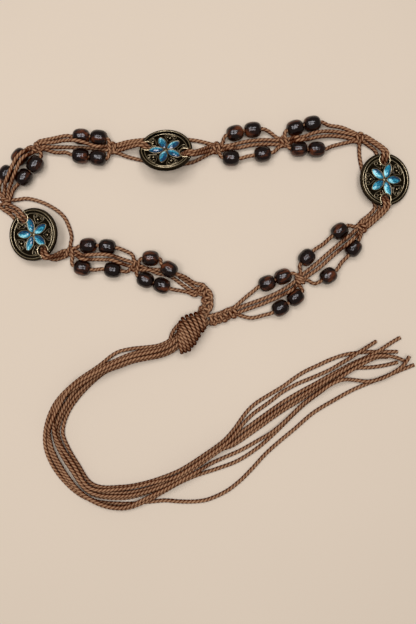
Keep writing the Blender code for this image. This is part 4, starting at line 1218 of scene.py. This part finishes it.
def with_painted_glints(mesh):
    """A painted share of light for each facet: a random painted glint from its place, and painted light
    from the way it faces.
    """
    data = mesh.attributes.new("sparkle", "FLOAT", "FACE").data
    for index, face in enumerate(mesh.polygons):
        seed = math.sin(face.center.x * 91700 + face.center.y * 47300 + face.center.z * 15800) * 4371.3
        own = (seed - math.floor(seed)) * 0.8 - 0.02
        # Painted light: facets turned up the table and to the left, towards the window, are painted
        # brighter.
        facing = face.normal.y * 0.85 - face.normal.x * 0.6
        data[index].value = min(1.0, max(0.0, own + facing))
    return mesh


def bronze_mesh(material):
    """A medallion without its stones, in its own frame, each part with how worn its metal is."""
    notches = notch_cutters(NOTCH_RADIUS)
    plate = cut_mesh(turned_mesh("plate", PLATE_PROFILE, False), notches, pierced_cutters())
    rim = cut_mesh(turned_mesh("rim", RIM_PROFILE), notches, bar_cutters())
    rings = wire_mesh("rings", [
        arc_line(radius, half + first, half + 180 - first, height)
        for radius, height, first in RINGS for half in (0, 180)], RING_WIRE)
    collars = wire_mesh("collars", [collar_line(1), collar_line(-1)], COLLAR_WIRE)
    settings = []
    for name, (half, side, height, radius, worn) in STONE_WIRES.items():
        line = [(x + STONE_PLACE, y, z) for x, y, z in stone_outline(half, side, height, WIRE_POINTS)]
        settings.append(painted(wire_mesh(name, [line], radius, True), worn))
    settings = placed_on_ring(joined(settings), STONE_COUNT, STONE_FIRST, material)
    scrolls = [[(x, side * y, SCROLL_HEIGHT) for x, y in SCROLL] for side in (1, -1)]
    scrolls.append([(x, y, SCROLL_HEIGHT) for x, y in ARCH])
    scrolls = [line_through(map(Vector, line), SCROLL_STEP) for line in scrolls]
    scrolls = painted(wire_mesh("scrolls", scrolls, SCROLL_WIRE), WORN["scrolls"])
    angles = [math.pi * step / BALL_STEPS for step in range(BALL_STEPS + 1)]
    ball = [(BALL_RADIUS * math.sin(angle), BALL_HEIGHT - BALL_RADIUS * math.cos(angle))
            for angle in angles]
    ball = turned_mesh("ball", ball, False)
    ball.transform(Matrix.Translation((BALL_PLACE * MM, 0, 0)))
    repeated = joined([scrolls, painted(ball, WORN["ball"])])
    repeated = placed_on_ring(repeated, STONE_COUNT, GAP_FIRST, material)
    repeated = cut_mesh(repeated, notch_cutters(COLLAR_RADIUS))
    boss = turned_mesh("boss", BOSS_PROFILE, False)
    rim = painted(rim, lambda place: WORN["crest" if place.z > RIM_CREST * MM else "rim"])
    return with_own_place(joined([
        painted(plate, WORN["plate"]), rim, painted(rings, WORN["rings"]),
        painted(collars, WORN["collars"]), settings, repeated, painted(boss, WORN["boss"])]))


def bead_profile(sizes):
    """Half a barrel: from the bore over the face and its rounded edge to the belly and back."""
    belly, half, bore = sizes.diameter / 2 / MM, sizes.length / 2 / MM, sizes.bore / 2 / MM
    side = []
    for number in range(SIDE_STEPS + 1):
        height = half * (1 - number / SIDE_STEPS)
        reach = height / (half * 1.1)
        side.append((belly * (1 - reach ** SIDE_CURVE) ** (1 / SIDE_CURVE), height))
    edge = side[0][0]
    upper = [(bore, half * 0.6), (bore, half - 0.5), (bore + 0.35, half), (edge - 0.5, half + 0.05),
             (edge, half - 0.12), *side[1:]]
    lower = [(radius, -height) for radius, height in reversed(upper[:-1])]
    return upper + lower


def turn_of_knot(upper, crown, lower, rise):
    """One turn of cord round the big knot, over its crown and back under, flattened on the table."""
    upper, crown, lower = flat(upper), flat(crown), flat(lower)
    bend = crown * 2 - (upper + lower) / 2
    line = []
    for number in range(TURN_POINTS):
        angle = math.tau * number / TURN_POINTS
        share = 0.5 - 0.5 * math.cos(angle)
        if angle < math.pi:
            middle = upper.lerp(bend, share).lerp(bend.lerp(lower, share), share)
        else:
            middle = upper.lerp(lower, share)
        height = max(CORD_RADIUS, BIG_KNOT_MIDDLE + rise * math.sin(angle))
        line.append(Vector((middle.x, middle.y, height)))
    return line


def free_end_lines():
    """The lines of the eight free ends, each from inside the big knot."""
    laid, lines = [], {}
    start, end = BIG_KNOT_ENDS
    for order, number in enumerate(END_ROUTES):
        line = lay(end_line(number), laid, [])
        laid.append(line)
        forward = (line[3] - line[0]).normalized()
        height = INSIDE_HEIGHT + INSIDE_LAYER * (order % INSIDE_LAYERS)
        inside = end.lerp(start, INSIDE_SHARE) + Vector((0, 0, height))
        inside += Vector((-forward.y, forward.x, 0)) * (LANES[number][0] * INSIDE_WIDTH)
        run_in = smooth_line([(inside, forward), (line[0], forward)], FINE_STEP)
        lines[number] = relaxed(evenly(run_in + line[1:], FINE_STEP), 1)
    return lines


def metres(line):
    """A line of the tables in metres, in the belt's own frame."""
    return [(point + SHIFT) * MM for point in line]


class BeltCord(bpy.types.PropertyGroup):
    diameter: bpy.props.FloatProperty(
        name="Diameter", description="Thickness of the cord over its plies",
        default=0.003, unit="LENGTH")
    lay: bpy.props.FloatProperty(
        name="Lay", description="Length in which a ply goes once round the cord",
        default=0.0094, unit="LENGTH")
    # The cord's own tan where the painted highlight falls, on the backs of the plies.
    light: bpy.props.FloatVectorProperty(
        name="Light", description="Colour on the backs of the plies",
        default=(0.40, 0.226, 0.122), subtype="COLOR")
    # The cord's own brown in painted shade, between the plies and at the sides.
    dark: bpy.props.FloatVectorProperty(
        name="Dark", description="Colour between the plies",
        default=(0.064, 0.010, 0.001), subtype="COLOR")


class BeltBeads(bpy.types.PropertyGroup):
    diameter: bpy.props.FloatProperty(
        name="Diameter", description="Thickness of a bead at its belly",
        default=0.012, unit="LENGTH")
    length: bpy.props.FloatProperty(
        name="Length", description="Length of a bead along its bore",
        default=0.0124, unit="LENGTH")
    bore: bpy.props.FloatProperty(
        name="Bore", description="Width of the hole through a bead",
        default=0.0039, unit="LENGTH")
    wood: bpy.props.FloatVectorProperty(
        name="Wood", description="Colour of the dark wood",
        default=(0.009, 0.0022, 0.0012), subtype="COLOR")
    grain: bpy.props.FloatVectorProperty(
        name="Grain", description="Colour of its paler grain",
        default=(0.12, 0.030, 0.008), subtype="COLOR")


class BeltMedallions(bpy.types.PropertyGroup):
    bronze_dark: bpy.props.FloatVectorProperty(
        name="Old bronze", description="Colour of the metal in its hollows",
        default=(0.034, 0.023, 0.011), subtype="COLOR")
    bronze_bright: bpy.props.FloatVectorProperty(
        name="Worn bronze", description="Colour of the metal where it is rubbed",
        default=(0.52, 0.43, 0.27), subtype="COLOR")
    stone: bpy.props.FloatVectorProperty(
        name="Stone", description="Main colour of the stones",
        default=(0.006, 0.24, 0.36), subtype="COLOR")
    # The stones' own deep blue, painted darker as shade on the facets that are turned away.
    stone_shaded: bpy.props.FloatVectorProperty(
        name="Deep stone", description="Colour of the facets that are turned away",
        default=(0.002, 0.03, 0.08), subtype="COLOR")
    # Colour of the painted glint on the facets that flash.
    stone_glint: bpy.props.FloatVectorProperty(
        name="Pale stone", description="Colour of the facets that flash",
        default=(0.42, 0.92, 1.0), subtype="COLOR")


class BeltStage(bpy.types.PropertyGroup):
    height: bpy.props.FloatProperty(
        name="Camera height", description="Height of the camera over the table",
        default=0.52, unit="LENGTH")
    lens: bpy.props.FloatProperty(
        name="Lens", description="Focal length in millimetres", default=39.0)
    floor: bpy.props.FloatVectorProperty(
        name="Floor", description="Colour of the table",
        default=(0.70, 0.60, 0.47), subtype="COLOR")


class TiedCords(bpy.types.Operator):
    """Make the four long cords with the square knots that tie them"""

    bl_idname = "belt.tied_cords"
    bl_label = "Tied cords"

    def execute(self, context):
        kit = cord_kit(context.scene.belt_cord)
        lines = eased_lines(belt_lines())
        for number in SECTIONS:
            node, name = f"knotted_cords_{number:02d}", f"tied_cords_{number:02d}"
            if number == SECTIONS[-1]:
                node, name = "right_sennit", "tied_sennit"
            parts = [lines[number, lane] for lane in LANE_NUMBERS]
            started = [passed for _, passed in parts]
            curve = cord_curve(name, [line for line, _ in parts], started=started)
            place_piece(add_object(name, cord_mesh(kit, curve, name)), "waxed_cord", node)
        return {"FINISHED"}


def cord_kit(sizes):
    """What every cord is made with: its sizes, its material and the tree that twists it."""
    return sizes, look("waxed_cord", cord_finish, sizes), twisted_cord_maker()


def cord_mesh(kit, curve, name):
    """The mesh of the twisted cords along a curve object, which is removed."""
    sizes, material, maker = kit
    mesh = maker.run(curve, {"Diameter": sizes.diameter, "Step": CORD_STEP, "Material": material})
    mesh.name = name
    mesh.shade_smooth()
    return mesh


class BigKnot(bpy.types.Operator):
    """Make the big knot in which all eight cord ends are tied"""

    bl_idname = "belt.big_knot"
    bl_label = "Big knot"

    def execute(self, context):
        kit = cord_kit(context.scene.belt_cord)
        turns = cord_curve("turns", [turn_of_knot(*row) for row in TURNS], level=False, cyclic=True)
        start, end = BIG_KNOT_ENDS
        forward = (end - start).normalized()
        core = []
        for across, height in KNOT_CORE:
            side, lifted = Vector((-forward.y, forward.x, 0.0)) * across, Vector((0, 0, height))
            core.append([start + side + lifted - forward * CORE_LEAD,
                         start.lerp(end, 0.5) + side * CORE_SPREAD + lifted,
                         end + side * CORE_END + lifted])
        core.append([Vector(point) for point in LOOSE_BIGHT])
        core = cord_curve("core", [line_through(line) for line in core], level=False)
        mesh = joined([cord_mesh(kit, turns, "big_knot_turns"), cord_mesh(kit, core, "big_knot_core")])
        place_piece(add_object("big_knot", mesh), "waxed_cord", "overhand_knot")
        return {"FINISHED"}


class FreeEnds(bpy.types.Operator):
    """Make the eight free cord ends below the big knot"""

    bl_idname = "belt.free_ends"
    bl_label = "Free ends"

    def execute(self, context):
        sizes = context.scene.belt_cord
        kit = cord_kit(sizes)
        for number, line in free_end_lines().items():
            name = f"free_end_{number}"
            mesh = cord_mesh(kit, cord_curve(name, [line]), name)
            thing = place_piece(add_object(name, mesh), "waxed_cord", f"tie_end_{number}")
            path = metres(line)
            line_length(path)
        return {"FINISHED"}


class Beads(bpy.types.Operator):
    """Make the thirty-two wooden beads"""

    bl_idname = "belt.beads"
    bl_label = "Beads"

    def execute(self, context):
        sizes = context.scene.belt_beads
        material = look("dark_wood", wood_finish, sizes)
        one = turned_mesh("bead", bead_profile(sizes))
        one = add_object("one_bead", with_own_place(one))
        points = bpy.data.meshes.new("bead_points")
        points.from_pydata(metres([Vector((bead.x, bead.y, bead.z)) for bead in BEADS]), [], [])
        turns = points.attributes.new("turn", "FLOAT_VECTOR", "POINT").data
        for number, bead in enumerate(BEADS):
            heading = Matrix.Rotation(math.radians(bead.bore), 3, "Z")
            lie = heading @ Matrix.Rotation(math.pi / 2, 3, "Y")
            roll = Matrix.Rotation(math.radians(GRAIN_ROLL * number), 3, "Z")
            turns[number].vector = (lie @ roll).to_euler("XYZ")
        strung = add_object("bead_points", points)
        mesh = strung_bead_maker().run(strung, {"Bead": one, "Material": material})
        bpy.data.objects.remove(one, do_unlink=True)
        mesh.shade_smooth()
        place_piece(add_object("beads", mesh), "dark_wood", *("bead_" + bead.name for bead in BEADS))
        return {"FINISHED"}


class Medallions(bpy.types.Operator):
    """Make the three pierced medallions and their stones"""

    bl_idname = "belt.medallions"
    bl_label = "Medallions"

    def execute(self, context):
        sizes = context.scene.belt_medallions
        bronze = look("antique_bronze", bronze_finish, sizes)
        glass = look("blue_glass", stone_finish, sizes)
        metal = bronze_mesh(bronze)
        stones = with_painted_glints(placed_on_ring(stone_mesh(), STONE_COUNT, STONE_FIRST, glass))
        for mesh, material in ((metal, bronze), (stones, glass)):
            mesh.materials.clear()
            mesh.materials.append(material)
        for row in MEDALLIONS:
            place = Matrix.Translation(SHIFT * MM) @ Matrix.Scale(MM, 4)
            place = place @ disc_place(row) @ Matrix.Scale(1 / MM, 4)
            copies = {f"bronze_{row.name}": metal.copy(), f"stones_{row.name}": stones.copy()}
            for name, mesh in copies.items():
                mesh.transform(place)
                mesh.name = name
            things = [add_object(name, mesh) for name, mesh in copies.items()]
            place_piece(things[0], "antique_bronze", f"medallion_{row.name}")
            place_piece(things[1], None)
        return {"FINISHED"}


class Stage(bpy.types.Operator):
    """Set the floor, the light and the camera"""

    bl_idname = "belt.stage"
    bl_label = "Stage"

    def execute(self, context):
        scene, sizes = context.scene, context.scene.belt_stage
        middle = SHIFT * MM
        floor = bpy.data.meshes.new("floor")
        corners = ((-1, -1), (1, -1), (1, 1), (-1, 1))
        floor.from_pydata([flat(corner) * FLOOR_REACH for corner in corners], [], [(0, 1, 2, 3)])
        floor.materials.append(look("pale_floor", floor_finish, sizes))
        add_object("floor", floor)
        world = bpy.data.worlds.new("soft_room")
        world.use_nodes = True
        world.node_tree.nodes["Background"].inputs["Color"].default_value = ROOM_COLOUR
        world.node_tree.nodes["Background"].inputs["Strength"].default_value = ROOM_LIGHT
        scene.world = world
        for across, along in ((-1, -1), (1, -1), (-1, 1), (1, 1)):
            pane = bpy.data.lights.new("window_pane", "AREA")
            pane.shape = "RECTANGLE"
            pane.size, pane.size_y = PANE_SIZE
            pane.energy = PANE_POWER
            pane.color = PANE_COLOUR
            thing = add_object("window_pane", pane)
            spread = Vector((across * (PANE_SIZE[0] / 2 + PANE_BAR),
                             along * (PANE_SIZE[1] / 2 + PANE_BAR), 0.0))
            thing.location = middle + WINDOW_PLACE + spread
            facing = middle - thing.location + spread
            thing.rotation_euler = facing.to_track_quat("-Z", "Y").to_euler()
        camera = bpy.data.cameras.new("camera")
        camera.lens = sizes.lens
        camera.clip_start = CLIP_START
        view = add_object("camera", camera)
        view.location = middle + Vector((0.0, 0.0, sizes.height))
        scene.camera = view
        scene.view_settings.view_transform = "Standard"
        return {"FINISHED"}


class BeltPanel(bpy.types.Panel):
    """The belt's pieces and their sizes"""

    bl_idname = "VIEW3D_PT_cord_waist_belt"
    bl_label = "Cord waist belt"
    bl_space_type = "VIEW_3D"
    bl_region_type = "UI"
    bl_category = "Belt"

    def draw(self, context):
        for group, pieces in PANEL_ROWS:
            box = self.layout.box()
            sizes = getattr(context.scene, group)
            for name in sizes.__annotations__:
                box.prop(sizes, name)
            for piece in pieces:
                box.operator(piece.bl_idname)


GROUPS = {
    "belt_cord": BeltCord, "belt_beads": BeltBeads, "belt_medallions": BeltMedallions,
    "belt_stage": BeltStage,
}
PANEL_ROWS = (
    ("belt_cord", (TiedCords, BigKnot, FreeEnds)), ("belt_beads", (Beads,)),
    ("belt_medallions", (Medallions,)), ("belt_stage", (Stage,)),
)
CLASSES = (*GROUPS.values(), TiedCords, BigKnot, FreeEnds, Beads, Medallions, Stage, BeltPanel)


def register():
    for kind in CLASSES:
        bpy.utils.register_class(kind)
    for name, kind in GROUPS.items():
        setattr(bpy.types.Scene, name, bpy.props.PointerProperty(type=kind))


def unregister():
    for name in GROUPS:
        delattr(bpy.types.Scene, name)
    for kind in reversed(CLASSES):
        bpy.utils.unregister_class(kind)


def main():
    """Makes the whole belt."""
    register()
    bpy.ops.belt.stage()
    bpy.ops.belt.free_ends()
    bpy.ops.belt.tied_cords()
    bpy.ops.belt.big_knot()
    bpy.ops.belt.beads()
    bpy.ops.belt.medallions()


if __name__ == "__main__":
    main()
